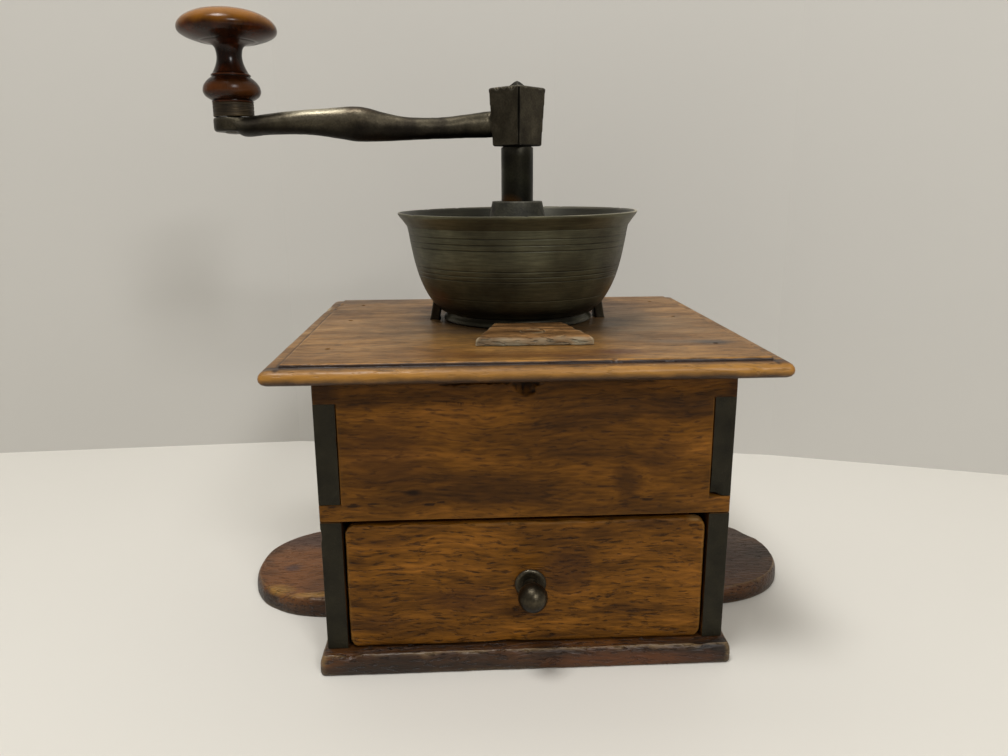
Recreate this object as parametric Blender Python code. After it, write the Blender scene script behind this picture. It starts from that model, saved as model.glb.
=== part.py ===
"""Manual coffee grinder with a wooden case, a turned hopper bowl and a forged crank.

The part stands on the floor at z = 0 with its front towards -Y. The origin is on the floor under
the shaft, and the crank at rest points to -X. Lengths are in metres.
"""

import math

import bmesh
import bpy
from mathutils import Matrix, Vector

# Fits
SEAT_GAP = 0.0003
RUN_GAP = 0.0004
CUT_OVERRUN = 0.002
WELD_DISTANCE = 0.000001

# Facets
BOWL_SIDES = 40
TURNED_SIDES = 32
SMALL_SIDES = 20
NAIL_SIDES = 8
ARC_STEPS = 6

# Case: its centre lies in front of the shaft and a little to its left
CASE_X = -0.0022
CASE_Y = -0.01635
CASE_WIDTH = 0.1675
CASE_DEPTH = 0.1489
SIDE_HEIGHT = 0.1169
SIDE_THICKNESS = 0.0086
FRONT_THICKNESS = 0.0088
FRONT_LOW_FINGER = 0.0072
FRONT_TOP_FINGER = 0.0104
BACK_FINGER = 0.0220

# Base board, with an ear on each side
BASE_THICKNESS = 0.0090
BASE_SIDE_OVERHANG = 0.0028
BASE_FRONT_OVERHANG = 0.0060
BASE_ROUNDING = 0.0020
BASE_CORNER_RADIUS = 0.0050
LEFT_EAR_REACH = 0.0482
RIGHT_EAR_REACH = 0.0525
EAR_HALF_LENGTH = 0.0410
EAR_SETBACK = 0.0073
EAR_STEPS = 20
EAR_FULLNESS_SHARE = 0.9

# Top board: a raised field, a step and a rounded edge
TOP_SIDE_OVERHANG = 0.01625
TOP_FRONT_OVERHANG = 0.01665
TOP_THICKNESS = 0.0073
FIELD_BORDER = 0.0072
FIELD_STEP = 0.0013

# Nails
NAIL_RADIUS = 0.0011
NAIL_LENGTH = 0.0200
TOP_NAIL_SHARES = (-0.76, 0.16, 0.84)
BASE_NAIL_SHARES = (-0.70, 0.70)

# Wooden block in front of the bowl
BLOCK_X = 0.0024
BLOCK_BACK_WIDTH = 0.0320
BLOCK_FRONT_WIDTH = 0.0492
BLOCK_LENGTH = 0.0368
BLOCK_THICKNESS = 0.0037
BLOCK_ARRIS = 0.0006
PEG_RADIUS = 0.0050
PEG_DEPTH = 0.0035
PEG_SETBACK = 0.0230

# Hopper bowl: the foot as shares of its own radius and height, then the body as shares of the
# way from the foot to the rim
FOOT_RADIUS = 0.0363
FOOT_HEIGHT = 0.0045
FOOT_WALL = 0.0033
FOOT_SHARES = ((1.0, 0.0), (0.992, 0.35), (0.953, 0.65), (0.961, 0.93))
RIM_RADIUS = 0.0575
BOWL_HEIGHT = 0.0522
BOWL_WALL = 0.0024
BODY_SHARES = (
    (0.051, 0.002),
    (0.251, 0.083),
    (0.363, 0.157),
    (0.553, 0.332),
    (0.685, 0.546),
    (0.799, 0.860),
    (0.913, 0.940),
    (1.000, 1.000),
)
FLOOR_THICKNESS = 0.0026
FLOOR_HOLE_RADIUS = 0.0235
LUG_LENGTH = 0.0080
LUG_WIDTH = 0.0120
LUG_HEIGHT = 0.0060

# Bridge across the bowl, with the conical boss that guides the shaft
BRIDGE_HEIGHT_SHARE = 0.690
BRIDGE_THICKNESS = 0.0050
BRIDGE_WIDTH = 0.0160
BRIDGE_WALL_GAP = 0.0018
BOSS_TOP_RADIUS = 0.0113
BOSS_LOW_RADIUS = 0.0150
BOSS_HEIGHT = 0.0150
BOSS_ARRIS = 0.0008
RIVET_RADIUS = 0.0020
RIVET_HEAD_RADIUS = 0.0036
RIVET_HEAD_HEIGHT = 0.0014

# Straps beside the foot, and the bar that they carry under the top board
STRAP_STANDOFF = 0.0043
STRAP_THICKNESS = 0.0047
STRAP_WIDTH = 0.0090
STRAP_TAIL = 0.0060
STRAP_PIN_RADIUS = 0.0018
STRAP_PIN_OVERHANG = 0.0030
BAR_DROP = 0.0045
BAR_THICKNESS = 0.0060
BAR_WIDTH = 0.0180
BAR_END = 0.0060
BAR_BOSS_RADIUS = 0.0095
BAR_BOSS_DROP = 0.0040

# Burrs
RING_RADIUS = 0.0245
RING_FLANGE_GAP = 0.0008
RING_MOUTH_RADIUS = 0.0220
RING_DROP = 0.0205
RING_THROAT_HEIGHT = 0.0210
RING_THROAT_RADIUS = 0.0155
RING_EXIT_RADIUS = 0.0184
CONE_HEIGHT = 0.0240
CONE_LIFT = 0.0010
CONE_TOP_RADIUS = 0.0086
GRIND_GAP = 0.0008
TOOTH_DEPTH = 0.0012
TOOTH_COUNT = 20
TOOTH_TWIST = math.radians(24.0)
TOOTH_LEVELS = 4
BURR_PIN_RADIUS = 0.0015

# Shaft and the step that it turns on
SHAFT_RADIUS = 0.0076
SHAFT_END_RADIUS = 0.0055
SHAFT_POINT_HEIGHT = 0.0032
NECK_HEIGHT = 0.0249
TANG_LOW_SIDE = 0.0096
TANG_TOP_SIDE = 0.0066
TANG_POINT_HEIGHT = 0.0036
STEP_WALL = 0.0014
STEP_HEIGHT = 0.0071
STEP_CLEARANCE = 0.0007
SCREW_RADIUS = 0.0032
SCREW_WING_WIDTH = 0.0220
SCREW_WING_HEIGHT = 0.0100
SCREW_WING_THICKNESS = 0.0030
SCREW_WING_DROP = 0.0060
SCREW_WING_CLEARANCE = 0.0019

# Crank: a tapered square hub, a forged arm and a flat eye
HUB_HEIGHT = 0.0258
HUB_TOP_SIDE = 0.0189
HUB_LOW_SIDE = 0.0164
HUB_CROWN = 0.0012
CRANK_RADIUS = 0.1308
ARM_LIFT = 0.0085
ARM_HEIGHT = 0.0100
ARM_WIDTH = 0.0080
EYE_RADIUS = 0.0093
EYE_THICKNESS = 0.0062
EYE_LIFT = 0.0068
ARM_SIDES = 16
ARM_STATION_SHARES = (
    0.045, 0.10, 0.18, 0.26, 0.33, 0.405, 0.474, 0.528, 0.566, 0.627, 0.696, 0.81, 0.88, 0.95,
)
ARM_MIDDLE_SHARES = (
    0.17, 0.17, 0.08, 0.025, -0.01, 0.0, 0.075, 0.17, 0.20, 0.24, 0.285, 0.285, 0.22, 0.15,
)
ARM_HEIGHT_SHARES = (
    1.12, 1.12, 1.0, 0.97, 0.98, 1.06, 1.27, 1.52, 1.58, 1.40, 1.21, 1.01, 0.90, 0.80,
)
ARM_WIDTH_SHARES = (
    1.0, 1.0, 0.96, 0.94, 0.98, 1.06, 1.2, 1.32, 1.34, 1.24, 1.14, 1.06, 1.15, 1.35,
)

# Grip, turned in wood, as shares of its own radius and height from the ferrule up
PIN_RADIUS = 0.0030
PIN_HEAD_RADIUS = 0.0046
PIN_HEAD_HEIGHT = 0.0012
WASHER_RADIUS = 0.0062
WASHER_THICKNESS = 0.0008
FERRULE_RADIUS = 0.0091
FERRULE_HEIGHT = 0.0068
FERRULE_WALL = 0.0014
GRIP_RADIUS = 0.0219
GRIP_HEIGHT = 0.0390
GRIP_SHARES = (
    (0.42, 0.0),
    (0.43, 0.022),
    (0.40, 0.033),
    (0.45, 0.055),
    (0.54, 0.085),
    (0.59, 0.125),
    (0.595, 0.155),
    (0.565, 0.205),
    (0.49, 0.255),
    (0.415, 0.285),
    (0.395, 0.300),
    (0.395, 0.325),
    (0.36, 0.345),
    (0.29, 0.415),
    (0.255, 0.480),
    (0.252, 0.525),
    (0.28, 0.590),
    (0.36, 0.628),
    (0.60, 0.660),
    (0.83, 0.712),
    (0.96, 0.765),
    (1.0, 0.810),
    (0.96, 0.862),
    (0.83, 0.918),
    (0.60, 0.967),
    (0.36, 0.992),
)

# Drawer
DRAWER_SIDE_GAP = 0.0011
DRAWER_TOP_GAP = 0.0019
DRAWER_BACK_GAP = 0.0101
DRAWER_SIDE_THICKNESS = 0.0055
DRAWER_BOTTOM_THICKNESS = 0.0040
DRAWER_SIDE_DROP = 0.0100
DRAWER_BACK_DROP = 0.0140
DRAWER_CORNER_RADIUS = 0.0040
DRAWER_LAP = 0.0044
DRAWER_NAIL_RADIUS = 0.0008
DRAWER_NAIL_LENGTH = 0.0130
DRAWER_NAIL_SHARE = 0.5

# Drawer knob
KNOB_X = 0.0014
KNOB_RADIUS = 0.0061
KNOB_NECK_TAPER = 0.0014
KNOB_NECK_RADIUS = 0.0032
KNOB_SHANK_RADIUS = 0.0020
KNOB_NECK_LENGTH = 0.0040
ROSETTE_RADIUS = 0.0066
ROSETTE_THICKNESS = 0.0013
KNOB_WASHER_RADIUS = 0.0050
KNOB_WASHER_THICKNESS = 0.0010

# Heights from the floor up
case_low = BASE_THICKNESS + SEAT_GAP
case_high = case_low + SIDE_HEIGHT
top_low = case_high + SEAT_GAP
top_high = top_low + TOP_THICKNESS
foot_low = top_high + SEAT_GAP
floor_low = foot_low + FOOT_HEIGHT - SEAT_GAP - SEAT_GAP
bowl_high = foot_low + BOWL_HEIGHT
bridge_low = foot_low + BRIDGE_HEIGHT_SHARE * BOWL_HEIGHT
bridge_high = bridge_low + BRIDGE_THICKNESS
boss_high = bridge_high + BOSS_HEIGHT
shoulder = boss_high + NECK_HEIGHT
ring_low = top_low - RING_DROP
ring_high = floor_low - SEAT_GAP
cone_low = ring_low + CONE_LIFT
cone_high = cone_low + CONE_HEIGHT
shaft_low = cone_low - RUN_GAP - SHAFT_POINT_HEIGHT - CONE_LIFT
step_high = shaft_low + SHAFT_POINT_HEIGHT
step_low = step_high - STEP_HEIGHT
bar_high = step_low - BAR_DROP
bar_low = bar_high - BAR_THICKNESS
wing_high = bar_low - BAR_BOSS_DROP - SCREW_WING_DROP
wing_low = wing_high - SCREW_WING_HEIGHT
front_low = wing_low - SCREW_WING_CLEARANCE
strap_low = bar_low - STRAP_TAIL
strap_pin_height = bar_low - SEAT_GAP - STRAP_PIN_RADIUS
hub_low = shoulder + SEAT_GAP
hub_high = hub_low + HUB_HEIGHT
arm_middle = hub_low + ARM_LIFT
eye_low = hub_low + EYE_LIFT
eye_high = eye_low + EYE_THICKNESS
ferrule_low = eye_high + RUN_GAP
ferrule_high = ferrule_low + FERRULE_HEIGHT
grip_low = ferrule_high + SEAT_GAP
grip_high = grip_low + GRIP_HEIGHT

# Radii and places about the shaft
strap_x = FOOT_RADIUS + STRAP_STANDOFF
flange_radius = FOOT_RADIUS - FOOT_WALL - RING_FLANGE_GAP
cone_radius = RING_EXIT_RADIUS - GRIND_GAP
step_recess = SHAFT_END_RADIUS + STEP_CLEARANCE
block_back = -FOOT_RADIUS - SEAT_GAP
peg_place = Vector((BLOCK_X, block_back - PEG_SETBACK, 0))

# Places across the case, from its own centre
half_width = CASE_WIDTH / 2
half_depth = CASE_DEPTH / 2
inside_half_width = half_width - SIDE_THICKNESS
nail_x = half_width - SIDE_THICKNESS / 2
drawer_half_width = inside_half_width - DRAWER_SIDE_GAP
drawer_low = BASE_THICKNESS + RUN_GAP
drawer_high = front_low - DRAWER_TOP_GAP
drawer_floor = drawer_low + DRAWER_BOTTOM_THICKNESS
drawer_length = CASE_DEPTH - FRONT_THICKNESS - DRAWER_BACK_GAP
knob_height = (drawer_low + drawer_high) / 2


def clear_scene():
    """Removes whatever the scene already holds."""
    for held in list(bpy.data.objects):
        bpy.data.objects.remove(held, do_unlink=True)


def material(name, color, roughness, metallic=0.0):
    """A plain surface of one colour."""
    made = bpy.data.materials.new(name)
    made.use_nodes = True
    surface = made.node_tree.nodes["Principled BSDF"]
    surface.inputs["Base Color"].default_value = (*color, 1.0)
    surface.inputs["Roughness"].default_value = roughness
    surface.inputs["Metallic"].default_value = metallic
    made.diffuse_color = (*color, 1.0)
    return made


def axis_empty(name, place, parent=None):
    """An empty that carries the pieces of one body."""
    made = bpy.data.objects.new(name, None)
    made.location = place
    made.parent = parent
    bpy.context.collection.objects.link(made)
    return made


def add_piece(name, shape, look, parent=None, smooth=False):
    """Turns a bmesh into a named object with its material."""
    mesh = bpy.data.meshes.new(name)
    bmesh.ops.recalc_face_normals(shape, faces=shape.faces)
    shape.to_mesh(mesh)
    shape.free()
    mesh.materials.append(look)
    if smooth:
        mesh.shade_smooth()
        mesh.set_sharp_from_angle(angle=math.radians(30.0))
    made = bpy.data.objects.new(name, mesh)
    made.parent = parent
    bpy.context.collection.objects.link(made)
    return made


def add_cutter(name, shape, look, parent=None):
    """A hidden object that only shapes its neighbours."""
    made = add_piece(name, shape, look, parent)
    made.hide_render = True
    made.display_type = "WIRE"
    return made


def shape_with(piece, cutter, operation="DIFFERENCE"):
    """Cuts the piece with the cutter, or joins the cutter to it."""
    change = piece.modifiers.new(f"{operation.lower()} {cutter.name}", "BOOLEAN")
    change.operation = operation
    change.object = cutter
    change.solver = "EXACT"


def soften(piece, width, segments=1):
    """Bevels the piece's sharp edges."""
    bevel = piece.modifiers.new("soft edges", "BEVEL")
    bevel.width = width
    bevel.segments = segments
    bevel.limit_method = "ANGLE"
    bevel.angle_limit = math.radians(50.0)


def turned(profile, sides=TURNED_SIDES):
    """Solid of revolution about Z of a closed outline of (radius, height) points."""
    shape = bmesh.new()
    points = [shape.verts.new((radius, 0, height)) for radius, height in profile]
    edges = []
    for start, end in zip(points, points[1:] + points[:1]):
        if start.co.x > 0 or end.co.x > 0:
            edges.append(shape.edges.new((start, end)))
    bmesh.ops.spin(
        shape,
        geom=points + edges,
        cent=(0, 0, 0),
        axis=(0, 0, 1),
        angle=math.tau,
        steps=sides,
        use_merge=True,
    )
    bmesh.ops.remove_doubles(shape, verts=shape.verts, dist=WELD_DISTANCE)
    return shape


def extruded(outline, low, high, axis):
    """Prism of a flat outline, whose two coordinates go on the other two axes in order."""
    shape = bmesh.new()
    corners = []
    for first, second in outline:
        place = [first, second]
        place.insert(axis, low)
        corners.append(shape.verts.new(place))
    face = shape.faces.new(corners)
    made = bmesh.ops.extrude_face_region(shape, geom=[face])["geom"]
    shift = Vector((0, 0, 0))
    shift[axis] = high - low
    moved = [item for item in made if isinstance(item, bmesh.types.BMVert)]
    bmesh.ops.translate(shape, verts=moved, vec=shift)
    return shape


def lofted(rings):
    """Closed solid through rings of points, each ring with as many points as the others."""
    shape = bmesh.new()
    rows = [[shape.verts.new(point) for point in ring] for ring in rings]
    for row, following in zip(rows, rows[1:]):
        for index in range(len(row)):
            after = (index + 1) % len(row)
            shape.faces.new((row[index], row[after], following[after], following[index]))
    shape.faces.new(rows[0][::-1])
    shape.faces.new(rows[-1])
    return shape


def box(low, high):
    """Upright box between two corners."""
    outline = ((low[0], low[1]), (high[0], low[1]), (high[0], high[1]), (low[0], high[1]))
    return extruded(outline, low[2], high[2], 2)


def rods(ends, radius, sides=NAIL_SIDES):
    """Straight round rods, one for each pair of end points."""
    shape = bmesh.new()
    for start, end in ends:
        along = end - start
        turn = along.to_track_quat("Z", "Y").to_matrix().to_4x4()
        place = Matrix.Translation((start + end) / 2) @ turn
        bmesh.ops.create_cone(
            shape,
            cap_ends=True,
            segments=sides,
            radius1=radius,
            radius2=radius,
            depth=along.length,
            matrix=place,
        )
    return shape


def add_rods(name, ends, radius, look, parent=None, sides=NAIL_SIDES):
    """One numbered piece for each pair of end points."""
    for index, pair in enumerate(ends):
        add_piece(f"{name}_{index + 1}", rods([pair], radius, sides), look, parent)


def merged(shapes):
    """Several separate solids as one shape."""
    whole = bmesh.new()
    for shape in shapes:
        mesh = bpy.data.meshes.new("part of a group")
        shape.to_mesh(mesh)
        shape.free()
        whole.from_mesh(mesh)
        bpy.data.meshes.remove(mesh)
    return whole


def rectangle_ring(half_x, half_y, height):
    """Four corners of a level rectangle about the Z axis."""
    return [
        (-half_x, -half_y, height),
        (half_x, -half_y, height),
        (half_x, half_y, height),
        (-half_x, half_y, height),
    ]


def diamond_ring(side, height):
    """Four corners of a level square whose corners point along X and Y."""
    reach = side / math.sqrt(2.0)
    return [(-reach, 0, height), (0, -reach, height), (reach, 0, height), (0, reach, height)]


def arc(centre, radius, start, end, steps):
    """Points of an arc, ends included."""
    angles = [start + (end - start) * step / steps for step in range(steps + 1)]
    return [
        (centre[0] + radius * math.cos(angle), centre[1] + radius * math.sin(angle))
        for angle in angles
    ]


def rounded_rectangle(left, right, low, high, radius):
    """Outline with round corners, anticlockwise."""
    quarter = math.pi / 2
    centres = (
        (right - radius, low + radius),
        (right - radius, high - radius),
        (left + radius, high - radius),
        (left + radius, low + radius),
    )
    points = []
    for index, centre in enumerate(centres):
        start = (index - 1) * quarter
        points += arc(centre, radius, start, start + quarter, ARC_STEPS)
    return points


def moved_left(points, distance):
    """Open outline moved to the left of its own direction by a distance."""
    moved = []
    for index, (across, up) in enumerate(points):
        before = points[max(index - 1, 0)]
        after = points[min(index + 1, len(points) - 1)]
        run, rise = after[0] - before[0], after[1] - before[1]
        length = math.hypot(run, rise)
        moved.append((across - distance * rise / length, up + distance * run / length))
    return moved


def cylinder_profile(radius, low, high):
    """Profile of a solid cylinder."""
    return [(0, low), (radius, low), (radius, high), (0, high)]


def cut_cylinder(name, radius, low, high, look, sides=TURNED_SIDES, parent=None):
    """Hidden cylinder about Z."""
    return add_cutter(name, turned(cylinder_profile(radius, low, high), sides), look, parent)


def nail_rows(low, high, shares):
    """Ends of the nails that run up or down through both side boards."""
    ends = []
    for side in (-1, 1):
        for share in shares:
            place = Vector((side * nail_x, share * half_depth, 0))
            ends.append((place + Vector((0, 0, low)), place + Vector((0, 0, high))))
    return ends


def base_outline():
    """Rectangle with round corners and a full half ellipse on each side, anticlockwise."""
    reach_x = half_width + BASE_SIDE_OVERHANG
    reach_y = half_depth + BASE_FRONT_OVERHANG
    quarter = math.pi / 2
    points = []
    for side, reach in ((1, RIGHT_EAR_REACH), (-1, LEFT_EAR_REACH)):
        centre_x = side * (reach_x - BASE_CORNER_RADIUS)
        centre_y = reach_y - BASE_CORNER_RADIUS
        start = 0 if side == 1 else math.pi
        near = (centre_x, -side * centre_y)
        points += arc(near, BASE_CORNER_RADIUS, start - quarter, start, ARC_STEPS)
        beyond = reach - BASE_SIDE_OVERHANG
        for step in range(EAR_STEPS + 1):
            turn = math.pi * (step / EAR_STEPS - 1 / 2)
            out = max(math.cos(turn), 0) ** EAR_FULLNESS_SHARE
            along = math.copysign(abs(math.sin(turn)) ** EAR_FULLNESS_SHARE, turn)
            across = side * (reach_x + beyond * out)
            points.append((across, EAR_SETBACK + side * EAR_HALF_LENGTH * along))
        far = (centre_x, side * centre_y)
        points += arc(far, BASE_CORNER_RADIUS, start, start + quarter, ARC_STEPS)
    return points


def build_base(case, wood, iron, hidden):
    base = add_piece("base_board", extruded(base_outline(), 0, BASE_THICKNESS, 2), wood, case)
    soften(base, BASE_ROUNDING, 2)
    add_rods("base_nail", nail_rows(SEAT_GAP, NAIL_LENGTH, BASE_NAIL_SHARES), NAIL_RADIUS, iron, case)
    ends = nail_rows(-CUT_OVERRUN, NAIL_LENGTH + SEAT_GAP, BASE_NAIL_SHARES)
    holes = add_cutter("base_nail_holes", rods(ends, NAIL_RADIUS + SEAT_GAP), hidden, case)
    shape_with(base, holes)
    return holes


def side_outline():
    """Side board seen from its side, with notches for the front and back boards' fingers."""
    front = -half_depth
    front_notch = front + FRONT_THICKNESS + SEAT_GAP
    back = half_depth
    back_notch = back - FRONT_THICKNESS - SEAT_GAP
    low_finger = front_low + FRONT_LOW_FINGER + SEAT_GAP
    top_finger = case_high - FRONT_TOP_FINGER - SEAT_GAP
    middle = (case_low + case_high) / 2
    points = [
        (front, case_low),
        (front, front_low - SEAT_GAP),
        (front_notch, front_low - SEAT_GAP),
        (front_notch, low_finger),
        (front, low_finger),
        (front, top_finger),
        (front_notch, top_finger),
        (front_notch, case_high),
        (back_notch, case_high),
    ]
    for centre in (case_high - BACK_FINGER / 2, middle, case_low + BACK_FINGER / 2):
        high, low = centre + BACK_FINGER / 2 + SEAT_GAP, centre - BACK_FINGER / 2 - SEAT_GAP
        if high < case_high:
            points += [(back, high), (back_notch, high)]
        points.append((back_notch, max(low, case_low)))
        if low > case_low:
            points.append((back, low))
    return points


def build_sides(case, wood, cutters):
    for name, side in (("left_side_board", -1), ("right_side_board", 1)):
        inner, outer = side * inside_half_width, side * half_width
        shape = extruded(side_outline(), min(inner, outer), max(inner, outer), 0)
        board = add_piece(name, shape, wood, case)
        for cutter in cutters:
            shape_with(board, cutter)


def front_outline():
    """Front board seen from the front: a finger at its top and one at its bottom."""
    neck = inside_half_width - SEAT_GAP
    low_finger = front_low + FRONT_LOW_FINGER
    top_finger = case_high - FRONT_TOP_FINGER
    right = [
        (half_width, front_low),
        (half_width, low_finger),
        (neck, low_finger),
        (neck, top_finger),
        (half_width, top_finger),
        (half_width, case_high),
    ]
    return right + [(-across, up) for across, up in reversed(right)]


def back_outline():
    """Back board seen from the front, with three fingers on each side."""
    neck = inside_half_width - SEAT_GAP
    middle = (case_low + case_high) / 2
    right = [
        (half_width, case_low),
        (half_width, case_low + BACK_FINGER),
        (neck, case_low + BACK_FINGER),
        (neck, middle - BACK_FINGER / 2),
        (half_width, middle - BACK_FINGER / 2),
        (half_width, middle + BACK_FINGER / 2),
        (neck, middle + BACK_FINGER / 2),
        (neck, case_high - BACK_FINGER),
        (half_width, case_high - BACK_FINGER),
        (half_width, case_high),
    ]
    return right + [(-across, up) for across, up in reversed(right)]


def build_ends(case, wood, cutters):
    front = extruded(front_outline(), -half_depth, FRONT_THICKNESS - half_depth, 1)
    back = extruded(back_outline(), half_depth - FRONT_THICKNESS, half_depth, 1)
    for name, shape in (("front_board", front), ("back_board", back)):
        board = add_piece(name, shape, wood, case)
        for cutter in cutters:
            shape_with(board, cutter)


def top_rings():
    """Rectangles of the moulded top board, from its underside up to its raised field."""
    rounding = (TOP_THICKNESS - FIELD_STEP) / 2
    rings = []
    for step in range(ARC_STEPS + 1):
        turn = math.pi * (step / ARC_STEPS - 1 / 2)
        inset = rounding * (1 - math.cos(turn))
        rings.append((inset, top_low + rounding * (1 + math.sin(turn))))
    shelf = top_high - FIELD_STEP
    rings.append((FIELD_BORDER, shelf))
    rings.append((FIELD_BORDER, top_high))
    reach_x = half_width + TOP_SIDE_OVERHANG
    reach_y = half_depth + TOP_FRONT_OVERHANG
    return [rectangle_ring(reach_x - inset, reach_y - inset, height) for inset, height in rings]


def strap_slots(low, high):
    """Boxes round both straps, from one height to another."""
    half_x = STRAP_THICKNESS / 2 + SEAT_GAP
    half_y = STRAP_WIDTH / 2 + SEAT_GAP
    return merged([
        box((middle - half_x, -half_y, low), (middle + half_x, half_y, high))
        for middle in (-strap_x, strap_x)
    ])


def build_top(case, wood, iron, hidden):
    top = add_piece("top_board", lofted(top_rings()), wood, case)
    low = top_high - NAIL_LENGTH
    add_rods("top_nail", nail_rows(low, top_high, TOP_NAIL_SHARES), NAIL_RADIUS, iron, case)
    ends = nail_rows(low - SEAT_GAP, top_high + CUT_OVERRUN, TOP_NAIL_SHARES)
    holes = add_cutter("top_nail_holes", rods(ends, NAIL_RADIUS + SEAT_GAP), hidden, case)
    burr_hole = cut_cylinder(
        "burr_hole", RING_RADIUS + SEAT_GAP, top_low - CUT_OVERRUN, top_high + CUT_OVERRUN, hidden
    )
    shape = strap_slots(top_low - CUT_OVERRUN, top_high + CUT_OVERRUN)
    slots = add_cutter("strap_slots", shape, hidden)
    for cutter in (burr_hole, slots, holes):
        shape_with(top, cutter)
    return top, holes


def build_block(top, wood, peg_wood, hidden):
    front = block_back - BLOCK_LENGTH
    outline = (
        (BLOCK_X - BLOCK_FRONT_WIDTH / 2, front),
        (BLOCK_X + BLOCK_FRONT_WIDTH / 2, front),
        (BLOCK_X + BLOCK_BACK_WIDTH / 2, block_back),
        (BLOCK_X - BLOCK_BACK_WIDTH / 2, block_back),
    )
    high = foot_low + BLOCK_THICKNESS
    block = add_piece("bowl_block", extruded(outline, foot_low, high, 2), wood)
    soften(block, BLOCK_ARRIS)
    low = top_high - PEG_DEPTH
    ends = [(peg_place + Vector((0, 0, low)), peg_place + Vector((0, 0, high)))]
    add_piece("block_peg", rods(ends, PEG_RADIUS, SMALL_SIDES), peg_wood)
    past = Vector((0, 0, high + CUT_OVERRUN))
    ends = [(peg_place + Vector((0, 0, low - SEAT_GAP)), peg_place + past)]
    hole = add_cutter("peg_hole", rods(ends, PEG_RADIUS + SEAT_GAP, SMALL_SIDES), hidden)
    shape_with(block, hole)
    shape_with(top, hole)


def body_profile():
    """Outside of the bowl's body, from above the foot to the rim."""
    flare = RIM_RADIUS - FOOT_RADIUS
    rise = BOWL_HEIGHT - FOOT_HEIGHT
    return [
        (FOOT_RADIUS + across * flare, foot_low + FOOT_HEIGHT + up * rise)
        for across, up in BODY_SHARES
    ]


def bowl_profile():
    """Closed outline of the bowl: the foot, the body's outside and inside, and the floor."""
    foot = [(across * FOOT_RADIUS, foot_low + up * FOOT_HEIGHT) for across, up in FOOT_SHARES]
    inside = moved_left(body_profile(), BOWL_WALL)
    inside[-1] = (inside[-1][0], bowl_high)
    inside = [point for point in inside if point[1] > floor_low + FLOOR_THICKNESS]
    foot_inside = FOOT_RADIUS - FOOT_WALL
    floor = [
        (FLOOR_HOLE_RADIUS, floor_low + FLOOR_THICKNESS),
        (FLOOR_HOLE_RADIUS, floor_low),
        (foot_inside, floor_low),
        (foot_inside, foot_low),
    ]
    return foot + body_profile() + inside[::-1] + floor


def wall_radius(height):
    """Inside radius of the bowl at a height."""
    inside = moved_left(body_profile(), BOWL_WALL)
    for (near, low), (far, high) in zip(inside, inside[1:]):
        if low <= height <= high:
            return near + (far - near) * (height - low) / (high - low)
    return inside[-1][0]


def on_both_sides(place):
    """The place and its mirror image across the shaft."""
    return (Vector((-place[0], place[1], place[2])), Vector(place))


def space_within(distance):
    """Solid that fills the bowl below its bridge, up to a distance inside its outer surface."""
    around = [point for point in moved_left(body_profile(), distance) if point[1] < bridge_high]
    around.append((wall_radius(bridge_high) + BOWL_WALL - distance, bridge_high))
    return turned([(0, around[0][1])] + around + [(0, bridge_high)], BOWL_SIDES)


def build_lugs(bronze, iron, hidden):
    """Lugs soldered to the bowl's inside, with the rivets that hold the bridge on them."""
    seat = bridge_low - SEAT_GAP
    outer = wall_radius(bridge_low)
    inner = outer - LUG_LENGTH
    inside = add_cutter("bowl_inside", space_within(BOWL_WALL + SEAT_GAP), hidden)
    low = seat - LUG_HEIGHT / 2
    rivet_low = bridge_high + SEAT_GAP
    rivet_profile = cylinder_profile(RIVET_RADIUS, low, rivet_low)[:-1] + [
        (RIVET_HEAD_RADIUS, rivet_low),
        (RIVET_HEAD_RADIUS / 2, rivet_low + RIVET_HEAD_HEIGHT),
        (0, rivet_low + RIVET_HEAD_HEIGHT),
    ]
    ends = []
    lugs = []
    for name, place in zip(("left", "right"), on_both_sides(((inner + outer) / 2, 0, 0))):
        near, far = sorted((math.copysign(inner, place.x), math.copysign(outer, place.x)))
        shape = box((near, -LUG_WIDTH / 2, seat - LUG_HEIGHT), (far, LUG_WIDTH / 2, seat))
        lug = add_piece(f"{name}_bridge_lug", shape, bronze)
        shape_with(lug, inside, "INTERSECT")
        lugs.append(lug)
        rivet = add_piece(
            f"{name}_bridge_rivet", turned(rivet_profile, SMALL_SIDES), iron, smooth=True
        )
        rivet.location = place
        ends.append((
            place + Vector((0, 0, low - SEAT_GAP)),
            place + Vector((0, 0, bridge_high + CUT_OVERRUN)),
        ))
    holes = add_cutter("rivet_holes", rods(ends, RIVET_RADIUS + SEAT_GAP, SMALL_SIDES), hidden)
    for lug in lugs:
        shape_with(lug, holes)
    return holes


def build_bridge(iron, hidden, rivet_holes):
    half_length = wall_radius(bridge_low) - BRIDGE_WALL_GAP
    half = BRIDGE_WIDTH / 2
    bar = box((-half_length, -half, bridge_low), (half_length, half, bridge_high))
    bridge = add_piece("upper_bridge", bar, iron)
    boss = turned([
        (0, bridge_low),
        (BOSS_LOW_RADIUS, bridge_low),
        (BOSS_LOW_RADIUS, bridge_high),
        (BOSS_TOP_RADIUS, boss_high - BOSS_ARRIS),
        (BOSS_TOP_RADIUS - BOSS_ARRIS, boss_high),
        (0, boss_high),
    ])
    shape_with(bridge, add_cutter("bridge_boss", boss, hidden), "UNION")
    bore = cut_cylinder(
        "shaft_bore", SHAFT_RADIUS + RUN_GAP, bridge_low - CUT_OVERRUN, boss_high + CUT_OVERRUN,
        hidden,
    )
    shape_with(bridge, bore)
    shape_with(bridge, rivet_holes)


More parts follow.
